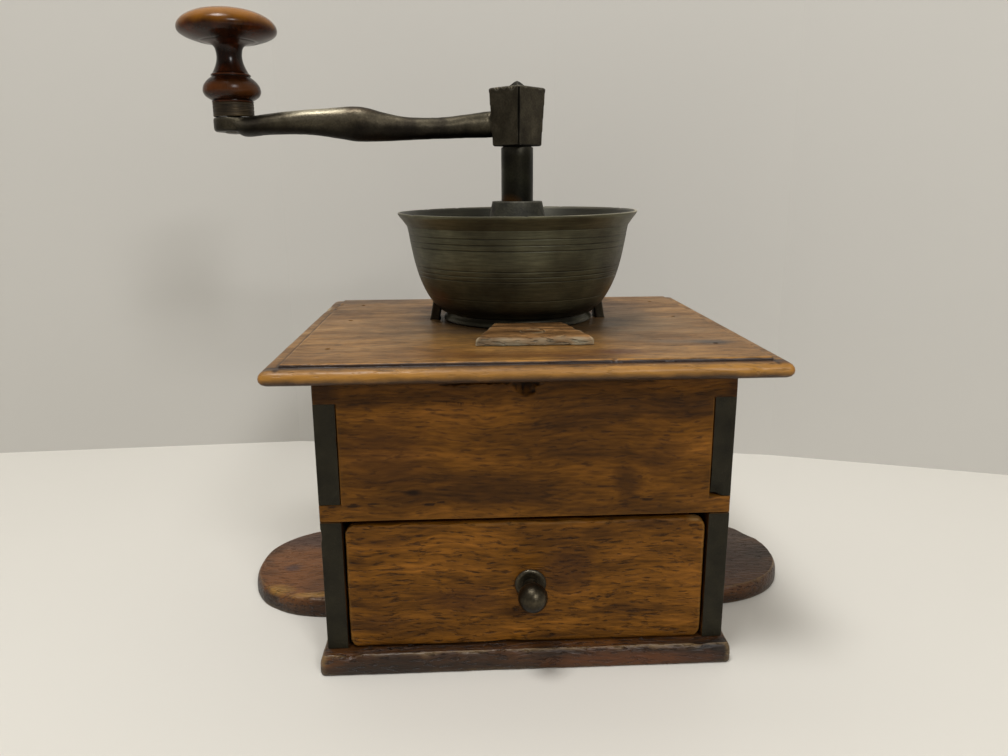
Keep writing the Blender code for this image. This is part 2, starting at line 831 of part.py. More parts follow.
def build_straps(iron, hidden):
    """Straps brazed under the bowl, and the pins through their lower ends."""
    bowl_space = add_cutter("bowl_space", space_within(-SEAT_GAP), hidden)
    pin_ends = []
    reach = STRAP_WIDTH / 2 + STRAP_PIN_OVERHANG
    for place in on_both_sides((strap_x, 0, 0)):
        pin_ends.append((
            place + Vector((0, -reach, strap_pin_height)),
            place + Vector((0, reach, strap_pin_height)),
        ))
    add_rods("strap_pin", pin_ends, STRAP_PIN_RADIUS, iron, sides=SMALL_SIDES)
    pin_holes = add_cutter(
        "strap_pin_holes", rods(pin_ends, STRAP_PIN_RADIUS + SEAT_GAP, SMALL_SIDES), hidden
    )
    high = body_profile()[2][1]
    for name, side in (("left_strap", -1), ("right_strap", 1)):
        shape = box(
            (side * strap_x - STRAP_THICKNESS / 2, -STRAP_WIDTH / 2, strap_low),
            (side * strap_x + STRAP_THICKNESS / 2, STRAP_WIDTH / 2, high),
        )
        strap = add_piece(name, shape, iron)
        shape_with(strap, bowl_space)
        shape_with(strap, pin_holes)


def build_bar(iron, hidden):
    half_length = strap_x + STRAP_THICKNESS / 2 + BAR_END
    shape = box((-half_length, -BAR_WIDTH / 2, bar_low), (half_length, BAR_WIDTH / 2, bar_high))
    bar = add_piece("lower_bridge", shape, iron)
    boss_low = bar_low - BAR_BOSS_DROP
    boss = cut_cylinder("bar_boss", BAR_BOSS_RADIUS, boss_low, bar_high, hidden)
    shape_with(bar, boss, "UNION")
    bore = cut_cylinder(
        "screw_bore", SCREW_RADIUS + RUN_GAP, boss_low - CUT_OVERRUN, bar_high + CUT_OVERRUN,
        hidden, SMALL_SIDES,
    )
    slots = strap_slots(bar_low - CUT_OVERRUN, bar_high + CUT_OVERRUN)
    shape_with(bar, bore)
    shape_with(bar, add_cutter("bar_slots", slots, hidden))


def toothed_rings(radii, heights, tooth):
    """Star rings up a cone. Each tooth is a crest at the radius and a valley beside it."""
    rings = []
    for level in range(TOOTH_LEVELS + 1):
        share = level / TOOTH_LEVELS
        crest = radii[0] + (radii[1] - radii[0]) * share
        height = heights[0] + (heights[1] - heights[0]) * share
        ring = []
        for index in range(2 * TOOTH_COUNT):
            angle = math.pi * index / TOOTH_COUNT + TOOTH_TWIST * share
            radius = crest + tooth * (index % 2)
            ring.append((radius * math.cos(angle), radius * math.sin(angle), height))
        rings.append(ring)
    return rings


def build_burr_ring(steel, hidden):
    throat = ring_low + RING_THROAT_HEIGHT
    ring = add_piece("burr_ring", turned([
        (RING_THROAT_RADIUS, ring_low),
        (RING_RADIUS, ring_low),
        (RING_RADIUS, foot_low),
        (flange_radius, foot_low),
        (flange_radius, ring_high),
        (RING_MOUTH_RADIUS, ring_high),
        (RING_THROAT_RADIUS, throat),
    ]), steel)
    slope = (RING_EXIT_RADIUS - RING_THROAT_RADIUS) / RING_THROAT_HEIGHT
    past = slope * CUT_OVERRUN
    teeth = toothed_rings(
        (RING_EXIT_RADIUS + past, RING_THROAT_RADIUS),
        (ring_low - CUT_OVERRUN, throat),
        TOOTH_DEPTH,
    )
    shape_with(ring, add_cutter("ring_teeth", lofted(teeth), hidden))


def build_spindle(crank, steel, iron, hidden):
    """Shaft with its square tang, and the burr that is pinned to it."""
    shaft = add_piece("shaft", turned([
        (0, shaft_low),
        (SHAFT_END_RADIUS, shaft_low + SHAFT_POINT_HEIGHT),
        (SHAFT_END_RADIUS, cone_high + SEAT_GAP),
        (SHAFT_RADIUS, cone_high + SEAT_GAP),
        (SHAFT_RADIUS, shoulder),
        (0, shoulder),
    ]), iron, crank, smooth=True)
    tang = lofted([
        diamond_ring(TANG_LOW_SIDE, shoulder - SHAFT_RADIUS),
        diamond_ring(TANG_LOW_SIDE, hub_low),
        diamond_ring(TANG_TOP_SIDE, hub_high),
        diamond_ring(SEAT_GAP, hub_high + TANG_POINT_HEIGHT),
    ])
    shape_with(shaft, add_cutter("shaft_tang", tang, hidden, crank), "UNION")

    teeth = toothed_rings(
        (cone_radius, CONE_TOP_RADIUS), (cone_low, cone_high), -TOOTH_DEPTH
    )
    cone = add_piece("burr_cone", lofted(teeth), steel, crank)
    bore = cut_cylinder(
        "cone_bore", SHAFT_END_RADIUS + SEAT_GAP, cone_low - CUT_OVERRUN, cone_high + CUT_OVERRUN,
        hidden, parent=crank,
    )
    shape_with(cone, bore)
    middle = (cone_low + cone_high) / 2
    reach = (cone_radius + CONE_TOP_RADIUS) / 2 - TOOTH_DEPTH - TOOTH_DEPTH
    ends = [(Vector((0, -reach, middle)), Vector((0, reach, middle)))]
    add_piece("burr_pin", rods(ends, BURR_PIN_RADIUS, SMALL_SIDES), iron, crank)
    past = reach + TOOTH_DEPTH + CUT_OVERRUN
    ends = [(Vector((0, -past, middle)), Vector((0, past, middle)))]
    hole = add_cutter(
        "burr_pin_hole", rods(ends, BURR_PIN_RADIUS + SEAT_GAP, SMALL_SIDES), hidden, crank
    )
    shape_with(shaft, hole)
    shape_with(cone, hole)


def build_step(lift, screw_axis, steel, iron, hidden):
    """Step bearing under the shaft, and the thumbscrew that lifts it."""
    add_piece("step_bearing", turned([
        (0, step_low),
        (step_recess + STEP_WALL, step_low),
        (step_recess + STEP_WALL, step_high),
        (step_recess, step_high),
        (0, shaft_low - RUN_GAP),
    ], SMALL_SIDES), steel, lift, smooth=True)
    screw = add_piece(
        "adjusting_screw",
        turned(cylinder_profile(SCREW_RADIUS, wing_low, step_low - SEAT_GAP), SMALL_SIDES),
        iron,
        screw_axis,
    )
    outline = rounded_rectangle(
        -SCREW_WING_WIDTH / 2, SCREW_WING_WIDTH / 2, wing_low, wing_high, SCREW_WING_HEIGHT / 3
    )
    wing = extruded(outline, -SCREW_WING_THICKNESS / 2, SCREW_WING_THICKNESS / 2, 1)
    shape_with(screw, add_cutter("screw_wing", wing, hidden, screw_axis), "UNION")


def arm_rings():
    """Oval sections of the forged arm, from inside the hub out to inside the eye."""
    rings = []
    table = zip(ARM_STATION_SHARES, ARM_MIDDLE_SHARES, ARM_HEIGHT_SHARES, ARM_WIDTH_SHARES)
    for station, middle, tall, wide in table:
        ring = []
        for index in range(ARM_SIDES):
            angle = math.tau * index / ARM_SIDES
            across = wide * ARM_WIDTH / 2 * math.sin(angle)
            up = tall * ARM_HEIGHT / 2 * math.cos(angle)
            centre = arm_middle + middle * ARM_HEIGHT
            ring.append((-station * CRANK_RADIUS, across, centre + up))
        rings.append(ring)
    return rings


def build_crank(crank, grip_axis, iron, hidden):
    arm = add_piece("crank_arm", lofted([
        diamond_ring(HUB_LOW_SIDE, hub_low),
        diamond_ring(HUB_TOP_SIDE, hub_high),
        diamond_ring(HUB_TOP_SIDE / 2, hub_high + HUB_CROWN),
    ]), iron, crank, smooth=True)
    shape_with(arm, add_cutter("forged_arm", lofted(arm_rings()), hidden, crank), "UNION")
    # The arm's oval end stays below the grip, which turns on the eye's flat top.
    clear = cut_cylinder(
        "above_eye", EYE_RADIUS + RUN_GAP, eye_high - SEAT_GAP, eye_high + ARM_HEIGHT, hidden,
        parent=grip_axis,
    )
    shape_with(arm, clear)
    eye = cut_cylinder("arm_eye", EYE_RADIUS, eye_low, eye_high, hidden, parent=grip_axis)
    shape_with(arm, eye, "UNION")
    slope = (TANG_TOP_SIDE - TANG_LOW_SIDE) / (hub_high - hub_low)
    past = slope * CUT_OVERRUN
    gap = SEAT_GAP + SEAT_GAP
    socket = lofted([
        diamond_ring(TANG_LOW_SIDE + gap - past, hub_low - CUT_OVERRUN),
        diamond_ring(TANG_TOP_SIDE + gap + past, hub_high + CUT_OVERRUN),
    ])
    shape_with(arm, add_cutter("hub_socket", socket, hidden, crank))
    pin_hole = cut_cylinder(
        "pin_hole", PIN_RADIUS + SEAT_GAP, eye_low - CUT_OVERRUN, eye_high + CUT_OVERRUN, hidden,
        SMALL_SIDES, grip_axis,
    )
    shape_with(arm, pin_hole)


def build_handle(crank, grip_axis, wood, brass, iron):
    """Pin, washer, ferrule and turned grip, about the pin's own axis."""
    seat = grip_high - WASHER_THICKNESS - PIN_HEAD_HEIGHT - SEAT_GAP - SEAT_GAP
    washer_low = seat + SEAT_GAP
    washer_high = washer_low + WASHER_THICKNESS
    head_low = washer_high + SEAT_GAP
    pin = add_piece("handle_pin", turned([
        (0, eye_low - PIN_HEAD_HEIGHT - SEAT_GAP),
        (PIN_HEAD_RADIUS / 2, eye_low - PIN_HEAD_HEIGHT - SEAT_GAP),
        (PIN_HEAD_RADIUS, eye_low - SEAT_GAP),
        (PIN_RADIUS, eye_low - SEAT_GAP),
        (PIN_RADIUS, head_low),
        (PIN_HEAD_RADIUS, head_low),
        (PIN_HEAD_RADIUS / 2, head_low + PIN_HEAD_HEIGHT),
        (0, head_low + PIN_HEAD_HEIGHT),
    ], SMALL_SIDES), iron, crank, smooth=True)
    washer = add_piece("pin_washer", turned([
        (PIN_RADIUS + SEAT_GAP, washer_low),
        (WASHER_RADIUS, washer_low),
        (WASHER_RADIUS, washer_high),
        (PIN_RADIUS + SEAT_GAP, washer_high),
    ], SMALL_SIDES), brass, crank, smooth=True)
    for piece in (pin, washer):
        piece.location = grip_axis.location
    bore = PIN_RADIUS + RUN_GAP
    spigot = FERRULE_RADIUS - FERRULE_WALL - SEAT_GAP
    turning = [(across * GRIP_RADIUS, grip_low + up * GRIP_HEIGHT) for across, up in GRIP_SHARES]
    recess = WASHER_RADIUS + SEAT_GAP
    add_piece("handle_grip", turned(
        [(bore, ferrule_low + SEAT_GAP), (spigot, ferrule_low + SEAT_GAP), (spigot, grip_low)]
        + turning
        + [(recess, grip_high), (recess, seat), (bore, seat)]
    ), wood, grip_axis, smooth=True)
    add_piece("handle_ferrule", turned([
        (FERRULE_RADIUS - FERRULE_WALL, ferrule_low),
        (FERRULE_RADIUS, ferrule_low),
        (FERRULE_RADIUS, ferrule_high),
        (FERRULE_RADIUS - FERRULE_WALL, ferrule_high),
    ]), brass, grip_axis, smooth=True)


def drawer_nail_ends(longer=0):
    """Nails through the drawer's sides, into the ends of its front and its back."""
    ends = []
    side_low = drawer_floor + SEAT_GAP
    side_high = drawer_high - DRAWER_SIDE_DROP
    height = side_low + DRAWER_NAIL_SHARE * (side_high - side_low)
    front_y = (DRAWER_LAP + FRONT_THICKNESS) / 2
    back_y = drawer_length - DRAWER_SIDE_THICKNESS / 2
    for side in (-1, 1):
        for depth in (front_y, back_y):
            ends.append((
                Vector((side * (drawer_half_width + longer), depth, height)),
                Vector((side * (drawer_half_width - DRAWER_NAIL_LENGTH - longer), depth, height)),
            ))
    return ends


def build_drawer(slide, wood, bottom_wood, iron, hidden):
    lap = DRAWER_LAP + SEAT_GAP
    inner = drawer_half_width - DRAWER_SIDE_THICKNESS
    side_low = drawer_floor + SEAT_GAP
    side_high = drawer_high - DRAWER_SIDE_DROP
    outline = rounded_rectangle(
        -drawer_half_width, drawer_half_width, drawer_low, drawer_high, DRAWER_CORNER_RADIUS
    )
    front = add_piece("drawer_front", extruded(outline, 0, FRONT_THICKNESS, 1), wood, slide)
    rebates = []
    for side in (-1, 1):
        near, far = sorted((side * (inner - SEAT_GAP), side * (drawer_half_width + CUT_OVERRUN)))
        rebates.append(box(
            (near, DRAWER_LAP, drawer_low - CUT_OVERRUN),
            (far, FRONT_THICKNESS + CUT_OVERRUN, drawer_high + CUT_OVERRUN),
        ))
    shape_with(front, add_cutter("drawer_rebates", merged(rebates), hidden, slide))
    pieces = [front]
    for name, side in (("drawer_left_side", -1), ("drawer_right_side", 1)):
        near, far = sorted((side * inner, side * drawer_half_width))
        shape = box((near, lap, side_low), (far, drawer_length, side_high))
        pieces.append(add_piece(name, shape, wood, slide))
    back = box(
        (-inner + SEAT_GAP, drawer_length - DRAWER_SIDE_THICKNESS, side_low),
        (inner - SEAT_GAP, drawer_length, drawer_high - DRAWER_BACK_DROP),
    )
    pieces.append(add_piece("drawer_back", back, wood, slide))
    bottom = box(
        (-drawer_half_width, FRONT_THICKNESS + SEAT_GAP, drawer_low),
        (drawer_half_width, drawer_length, drawer_floor),
    )
    pieces.append(add_piece("drawer_bottom", bottom, bottom_wood, slide))
    add_rods("drawer_nail", drawer_nail_ends(), DRAWER_NAIL_RADIUS, iron, slide)
    holes = add_cutter(
        "drawer_nail_holes", rods(drawer_nail_ends(SEAT_GAP), DRAWER_NAIL_RADIUS + SEAT_GAP),
        hidden, slide,
    )
    for piece in pieces:
        shape_with(piece, holes)
    return front


def build_knob(slide, front, iron, brass, hidden):
    """Iron knob on a rosette, riveted over a washer behind the drawer front."""
    neck_low = SEAT_GAP + ROSETTE_THICKNESS + SEAT_GAP
    turns = [math.radians(angle) for angle in (-50, -30, -10, 10, 30, 50, 70)]
    neck_high = neck_low + KNOB_NECK_LENGTH
    centre = neck_high + KNOB_NECK_TAPER - KNOB_RADIUS * math.sin(turns[0])
    ball = [
        (KNOB_RADIUS * math.cos(turn), centre + KNOB_RADIUS * math.sin(turn)) for turn in turns
    ]
    washer_high = -FRONT_THICKNESS - SEAT_GAP
    washer_low = washer_high - KNOB_WASHER_THICKNESS
    head_high = washer_low - SEAT_GAP
    knob = add_piece("drawer_knob", turned([
        (0, head_high - RIVET_HEAD_HEIGHT),
        (RIVET_HEAD_RADIUS / 2, head_high - RIVET_HEAD_HEIGHT),
        (RIVET_HEAD_RADIUS, head_high),
        (KNOB_SHANK_RADIUS, head_high),
        (KNOB_SHANK_RADIUS, neck_low),
        (KNOB_NECK_RADIUS, neck_low),
        (KNOB_NECK_RADIUS, neck_high),
        *ball,
        (0, centre + KNOB_RADIUS),
    ], SMALL_SIDES), iron, slide, smooth=True)
    rosette = add_piece("knob_rosette", turned([
        (KNOB_SHANK_RADIUS + SEAT_GAP, SEAT_GAP),
        (ROSETTE_RADIUS, SEAT_GAP),
        (ROSETTE_RADIUS - ROSETTE_THICKNESS / 2, SEAT_GAP + ROSETTE_THICKNESS),
        (KNOB_SHANK_RADIUS + SEAT_GAP, SEAT_GAP + ROSETTE_THICKNESS),
    ], SMALL_SIDES), iron, slide, smooth=True)
    washer = add_piece("knob_washer", turned([
        (KNOB_SHANK_RADIUS + SEAT_GAP, washer_low),
        (KNOB_WASHER_RADIUS, washer_low),
        (KNOB_WASHER_RADIUS, washer_high),
        (KNOB_SHANK_RADIUS + SEAT_GAP, washer_high),
    ], SMALL_SIDES), brass, slide, smooth=True)
    hole = cut_cylinder(
        "knob_hole", KNOB_SHANK_RADIUS + SEAT_GAP, -FRONT_THICKNESS - CUT_OVERRUN, CUT_OVERRUN,
        hidden, SMALL_SIDES, slide,
    )
    for piece in (knob, rosette, washer, hole):
        piece.location = (KNOB_X, 0, knob_height)
        piece.rotation_euler.x = math.pi / 2
    shape_with(front, hole)


def main():
    clear_scene()
    top_wood = material("walnut top", (0.24, 0.13, 0.065), 0.45)
    case_wood = material("walnut case", (0.17, 0.095, 0.05), 0.55)
    side_wood = material("dark end grain", (0.03, 0.026, 0.02), 0.6)
    drawer_wood = material("golden walnut", (0.32, 0.18, 0.08), 0.45)
    inner_wood = material("plain drawer wood", (0.42, 0.30, 0.18), 0.7)
    base_wood = material("red brown base wood", (0.12, 0.055, 0.03), 0.5)
    grip_wood = material("polished red brown wood", (0.14, 0.05, 0.02), 0.2)
    bronze = material("brown green bronze", (0.07, 0.065, 0.04), 0.45, 0.9)
    iron = material("forged iron", (0.05, 0.042, 0.034), 0.45, 0.9)
    steel = material("burr steel", (0.20, 0.19, 0.18), 0.4, 1.0)
    brass = material("old brass", (0.20, 0.15, 0.07), 0.4, 1.0)
    hidden = material("cutters", (1.0, 0.0, 1.0), 1.0)

    case = axis_empty("case_centre", (CASE_X, CASE_Y, 0))
    slide = axis_empty("drawer_slide_axis", (0, -half_depth, 0), case)
    lift = axis_empty("lift_axis", (0, 0, 0))
    screw_axis = axis_empty("screw_axis", (0, 0, 0), lift)
    crank = axis_empty("crank_axis", (0, 0, 0), lift)
    grip_axis = axis_empty("grip_axis", (-CRANK_RADIUS, 0, 0), crank)

    base_holes = build_base(case, base_wood, iron, hidden)
    top, top_holes = build_top(case, top_wood, iron, hidden)
    build_sides(case, side_wood, (base_holes, top_holes))
    build_ends(case, case_wood, (base_holes, top_holes))
    build_block(top, top_wood, case_wood, hidden)
    add_piece("hopper_bowl", turned(bowl_profile(), BOWL_SIDES), bronze, smooth=True)
    rivet_holes = build_lugs(bronze, iron, hidden)
    build_bridge(iron, hidden, rivet_holes)
    build_straps(iron, hidden)
    build_bar(iron, hidden)
    build_burr_ring(steel, hidden)
    build_spindle(crank, steel, iron, hidden)
    build_step(lift, screw_axis, steel, iron, hidden)
    build_crank(crank, grip_axis, iron, hidden)
    build_handle(crank, grip_axis, grip_wood, brass, iron)
    front = build_drawer(slide, drawer_wood, inner_wood, iron, hidden)
    build_knob(slide, front, iron, brass, hidden)


main()
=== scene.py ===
"""Looks of the manual coffee grinder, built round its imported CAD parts.

Sizes are written in millimetres and become metres where a mesh is made. The front faces -Y, the
shaft stands on the origin's upright, and the crank at rest points to -X.
"""

import itertools
import math

import bmesh
import bpy
import numpy as np
from mathutils import Matrix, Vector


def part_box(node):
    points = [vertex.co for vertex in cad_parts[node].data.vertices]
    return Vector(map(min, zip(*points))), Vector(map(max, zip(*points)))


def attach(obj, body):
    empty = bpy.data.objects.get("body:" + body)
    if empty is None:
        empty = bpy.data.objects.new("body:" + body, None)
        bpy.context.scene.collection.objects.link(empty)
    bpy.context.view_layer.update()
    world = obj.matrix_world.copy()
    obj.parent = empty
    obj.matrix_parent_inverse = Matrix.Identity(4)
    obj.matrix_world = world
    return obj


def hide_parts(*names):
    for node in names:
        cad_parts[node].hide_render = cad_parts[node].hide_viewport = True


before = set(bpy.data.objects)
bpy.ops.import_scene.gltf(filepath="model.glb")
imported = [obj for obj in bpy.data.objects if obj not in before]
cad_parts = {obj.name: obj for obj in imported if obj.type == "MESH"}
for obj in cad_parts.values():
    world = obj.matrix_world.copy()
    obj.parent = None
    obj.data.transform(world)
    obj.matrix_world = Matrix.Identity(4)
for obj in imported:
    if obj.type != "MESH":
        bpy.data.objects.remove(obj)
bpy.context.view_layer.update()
MM = 0.001

# Table, wall, lamps and camera
# The grinder stands on a white table with a plain wall a hand's breadth behind it, clear from its
# back so that views from there see the object. Two soft lamps above the camera and an even room
# light keep a colour about as it is written.


def linear(code):
    """Linear colour of an sRGB hex: c / 12.92 up to 0.04045, else ((c + 0.055) / 1.055) ** 2.4."""
    c = np.array([int(code[i:i + 2], 16) for i in (1, 3, 5)]) / 255
    return (*np.where(c <= 0.04045, c / 12.92, ((c + 0.055) / 1.055) ** 2.4), 1.0)


def feed(node, ins):
    """Sets each named input to a number, a vector or a hex colour, or links another node to it."""
    for name, value in ins.items():
        if isinstance(value, bpy.types.NodeSocket):
            node.id_data.links.new(value, node.inputs[name])
        else:
            node.inputs[name].default_value = linear(value) if isinstance(value, str) else value


def add(tree, kind, ins, out=0, ramp=(), **settings):
    """Adds a node with its settings, inputs and colour stops, and returns one of its outputs."""
    node = tree.nodes.new("ShaderNode" + kind)
    for name, value in settings.items():
        setattr(node, name, value)
    feed(node, ins)
    for index, (at, colour) in enumerate(ramp):
        stops = node.color_ramp.elements
        stop = stops[index] if index < 2 else stops.new(at)
        stop.position, stop.color = at, linear(colour)
    return node.outputs[out]


def mix(tree, share, one, other, blend="MIX"):
    """Colour that goes from one to the other, or to their blend, as share goes from 0 to 1."""
    return add(tree, "Mix", {0: share, 6: one, 7: other}, 2, data_type="RGBA", blend_type=blend)


def spread(tree, value, low, high, at_low=0, at_high=1):
    """Number that goes from at_low to at_high, and no further, as value goes from low to high."""
    return add(tree, "MapRange", {0: value, 1: low, 2: high, 3: at_low, 4: at_high})


def noisy(tree, place, scale, detail=2, out=0):
    """Noise texture with scale waves per metre: its value, or its colour as output 1."""
    return add(tree, "TexNoise", {"Vector": place, "Scale": scale, "Detail": detail}, out)


def surface(name):
    """New material, with its tree and its shader."""
    made = bpy.data.materials.new(name)
    made.use_nodes = True
    return made, made.node_tree, made.node_tree.nodes["Principled BSDF"]


def object_from(name, points, faces):
    """Object at the origin with a mesh from points in millimetres."""
    mesh = bpy.data.meshes.new(name)
    mesh.from_pydata((np.asarray(points) * MM).tolist(), [], faces)
    made = bpy.data.objects.new(name, mesh)
    bpy.context.scene.collection.objects.link(made)
    return made


for name, colour, rough, corners in (
    ("table", "#d8d4cb", 0.5, [(-2600, -2600), (2600, -2600), (2600, 600), (-2600, 600)]),
    ("wall", "#cac7c0", 0.7, [(-2600, 40), (-900, 170), (-369, 206), (-159, 219), (40, 196),
                              (200, 162), (315, 122), (900, -90), (2600, -700)]),
):
    paint, tree, shader = surface(f"{name} paint")
    grain = noisy(tree, add(tree, "TexCoord", {}, 3), 3)
    tone = mix(tree, grain, colour, "#d1cdc4" if name == "table" else "#c2bfb8")
    feed(shader, {"Base Color": tone, "Roughness": rough, "Specular IOR Level": 0.3})
    if name == "table":
        backdrop = object_from(name, [(x, y, 0) for x, y in corners], [(0, 1, 2, 3)])
    else:
        foot = [(x, y, 0) for x, y in corners]
        head = [(x, y, 2600) for x, y in corners]
        count = len(corners)
        backdrop = object_from(
            name, foot + head, [(i, i + 1, count + i + 1, count + i) for i in range(count - 1)]
        )
        back = add(tree, "NewGeometry", {}, 6)
        clear = add(tree, "BsdfTransparent", {})
        both = add(tree, "MixShader", {0: back, 1: shader.outputs[0], 2: clear})
        feed(tree.nodes["Material Output"], {"Surface": both})
    backdrop.data.materials.append(paint)

for place, size, power in (((620, -1500, 1150), 0.4, 13), ((-380, -420, 1850), 0.5, 22)):
    lamp = bpy.data.objects.new("lamp", bpy.data.lights.new("lamp", "AREA"))
    lamp.data.size = size
    lamp.data.energy = power
    lamp.location = np.array(place) * MM
    aim = (-lamp.location).to_track_quat("-Z", "Y")
    lamp.rotation_euler = aim.to_euler()
    bpy.context.scene.collection.objects.link(lamp)

world = bpy.data.worlds.new("room")
world.use_nodes = True
feed(world.node_tree.nodes["Background"], {"Color": "#dedbd6", "Strength": 0.4})
bpy.context.scene.world = world

camera = bpy.data.objects.new("camera", bpy.data.cameras.new("camera"))
camera.data.lens = 28.279
camera.data.clip_start = 0.01
camera.matrix_world = (
    Matrix.Translation((-0.026223, -0.389475, 0.198148))
    @ Matrix.Rotation(math.radians(-2.852), 4, "Z")
    @ Matrix.Rotation(math.radians(90 - 13.770), 4, "X")
    @ Matrix.Rotation(math.radians(-0.310), 4, "Z")
)
bpy.context.scene.collection.objects.link(camera)
bpy.context.scene.camera = camera
bpy.context.scene.view_settings.view_transform = "Standard"

# Base board
# One board of walnut with an ear at each end, so that it can be held down by hand or knees. Its
# edge was rounded with a plane, and years of handling left it wavy, rubbed and polished.


def noise(points, size, seed=0):
    """Smooth noise from -1 to 1: random values on a lattice of that size, blended between its
    corners by 3t² - 2t³ along each direction."""
    places = np.asarray(points) / size
    cell = np.floor(places)
    part = places - cell
    part = part * part * (3 - 2 * part)
    total = 0
    for corner in itertools.product((0, 1), repeat=places.shape[-1]):
        mixed = (cell + corner) @ np.array((127.1, 311.7, 74.7))[:places.shape[-1]] + 17.3 * seed
        weight = np.prod(np.where(corner, part, 1 - part), -1)
        total = total + weight * (2 * (np.sin(mixed) * 43758.5453 % 1) - 1)
    return total


def uneven(amount, size, seed, *places):
    """Noise from 0 to twice the amount over places given axis by axis."""
    return amount * (1 + noise(np.stack(places, -1), size, seed))


def dinted(points, *dents):
    """Moves the points within a dent's reach by its push times (1 - (distance / reach)²)²."""
    for centre, reach, push in dents:
        far = np.linalg.norm(points - np.array(centre), axis=-1) / reach
        points = points + np.clip(1 - far ** 2, 0, 1)[..., None] ** 2 * np.array(push)
    return points


def skin(points, ends="flat"):
    """Closed surface over rows of points: each row closes on itself, neighbouring rows are joined
    by four-sided faces, and the end rows are flat, or joined to each other in a loop."""
    rows, columns = points.shape[:2]
    at = np.arange(rows * columns).reshape(rows, columns)
    chain = np.vstack([at, at[:1]]) if ends == "loop" else at
    beside = np.roll(chain, -1, axis=1)
    faces = np.stack([chain[:-1], beside[:-1], beside[1:], chain[1:]], -1).reshape(-1, 4).tolist()
    if ends == "flat":
        faces += [at[0, ::-1].tolist(), at[-1].tolist()]
    return points.reshape(-1, 3), faces


def turned(profile, sides=96, centre=(0, 0, 0), lying=False, loop=False, shape=None):
    """Profile (radius, height) turned about an upright axis: x = r cos a, y = r sin a, z = h. A
    lying one has its height along -Y. shape changes r and h, given the angle a."""
    angle = np.arange(sides) * math.tau / sides
    r, h = (np.repeat(values[:, None], sides, 1) for values in np.array(profile, float).T)
    if shape:
        r, h = shape(r, h, angle[None, :])
    x, y = r * np.cos(angle), r * np.sin(angle)
    points = np.stack([x, -h, y] if lying else [x, y, h], -1)
    return skin(points + np.array(centre), "loop" if loop else "flat")


def piece(name, *solids):
    """One object from closed solids, each turned outside out where its volume is negative."""
    whole = bmesh.new()
    for points, faces in solids:
        part = object_from(name, points, faces)
        held = bmesh.new()
        held.from_mesh(part.data)
        if held.calc_volume(signed=True) < 0:
            bmesh.ops.reverse_faces(held, faces=held.faces)
        held.to_mesh(part.data)
        whole.from_mesh(part.data)
        bpy.data.objects.remove(part)
    made = object_from(name, np.zeros((0, 3)), [])
    whole.to_mesh(made.data)
    return made


def worked(made, kind, **settings):
    """Runs one modifier on a piece and keeps the result as its mesh."""
    modifier = made.modifiers.new(kind, kind)
    for name, value in settings.items():
        setattr(modifier, name, value)
    seen = made.evaluated_get(bpy.context.evaluated_depsgraph_get())
    result = bpy.data.meshes.new_from_object(seen)
    made.modifiers.clear()
    made.data = result


def cut(made, *solids):
    """Takes solids away from a piece."""
    tool = piece("tool", *solids)
    worked(made, "BOOLEAN", object=tool, operation="DIFFERENCE", solver="EXACT")
    bpy.data.objects.remove(tool)


def rod(x, y, low, high, radius, sides=24):
    """Round rod between two heights."""
    return turned([(radius, low), (radius, high)], sides, (x, y, 0))


def brick(low, high):
    """Box between two corners, for cutting."""
    (x0, y0, z0), (x1, y1, z1) = low, high
    ring = [(x0, y0), (x1, y0), (x1, y1), (x0, y1)]
    return skin(np.array([[(x, y, z) for x, y in ring] for z in (z0, z1)], float))


# Faces larger than this, in square metres, are flat enough that no wear is drawn on them.
flat_area = 20 * MM * MM


def read(items, key, wide=1, kind=float):
    """Values that a mesh holds for its points, edges, faces or corners."""
    values = np.empty(len(items) * wide, kind)
    items.foreach_get(key, values)
    return values.reshape(-1, wide) if wide > 1 else values


def dress(made, body, slot, finish, *nodes, crease=40):
    """Smooths a piece, stores how it bends, and gives it its finish, body and place in the CAD.
    The bend at a point is the mean of -2 (neighbour - point) . normal / distance², in 1/mm, spread
    over its neighbours: above 0 on an arris, below 0 in a hollow, and 0 round large flat faces."""
    mesh = made.data
    mesh.name = made.name
    mesh.shade_smooth()
    mesh.set_sharp_from_angle(angle=math.radians(crease))
    points = read(mesh.vertices, "co", 3) / MM
    normals = read(mesh.vertex_normals, "vector", 3)
    ends = read(mesh.edges, "vertices", 2, int)
    pairs = np.vstack([ends, ends[:, ::-1]])
    near, far = pairs.T
    way = points[far] - points[near]
    size = np.maximum((way ** 2).sum(1), 0.02)
    count = np.maximum(np.bincount(near, minlength=len(points)), 1)
    bent = -2 * (way * normals[near]).sum(1) / size
    bend = np.bincount(near, bent, len(points)) / count
    for _ in range(3):
        bend = (bend + np.bincount(near, bend[far], len(points)) / count) / 2
    corners = read(mesh.polygons, "loop_total", kind=int)
    held = read(mesh.loops, "vertex_index", kind=int)
    bend[held[np.repeat(read(mesh.polygons, "area") > flat_area, corners)]] = 0
    mesh.attributes.new("bend", "FLOAT", "POINT").data.foreach_set("value", bend)
    mesh.materials.clear()
    mesh.materials.append(finish)
    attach(made, body)
    if nodes:
        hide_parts(*nodes)


def recoat(finish, *nodes):
    """Gives CAD nodes that stay a finer material."""
    for node in nodes:
        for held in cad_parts[node].material_slots:
            held.material = finish


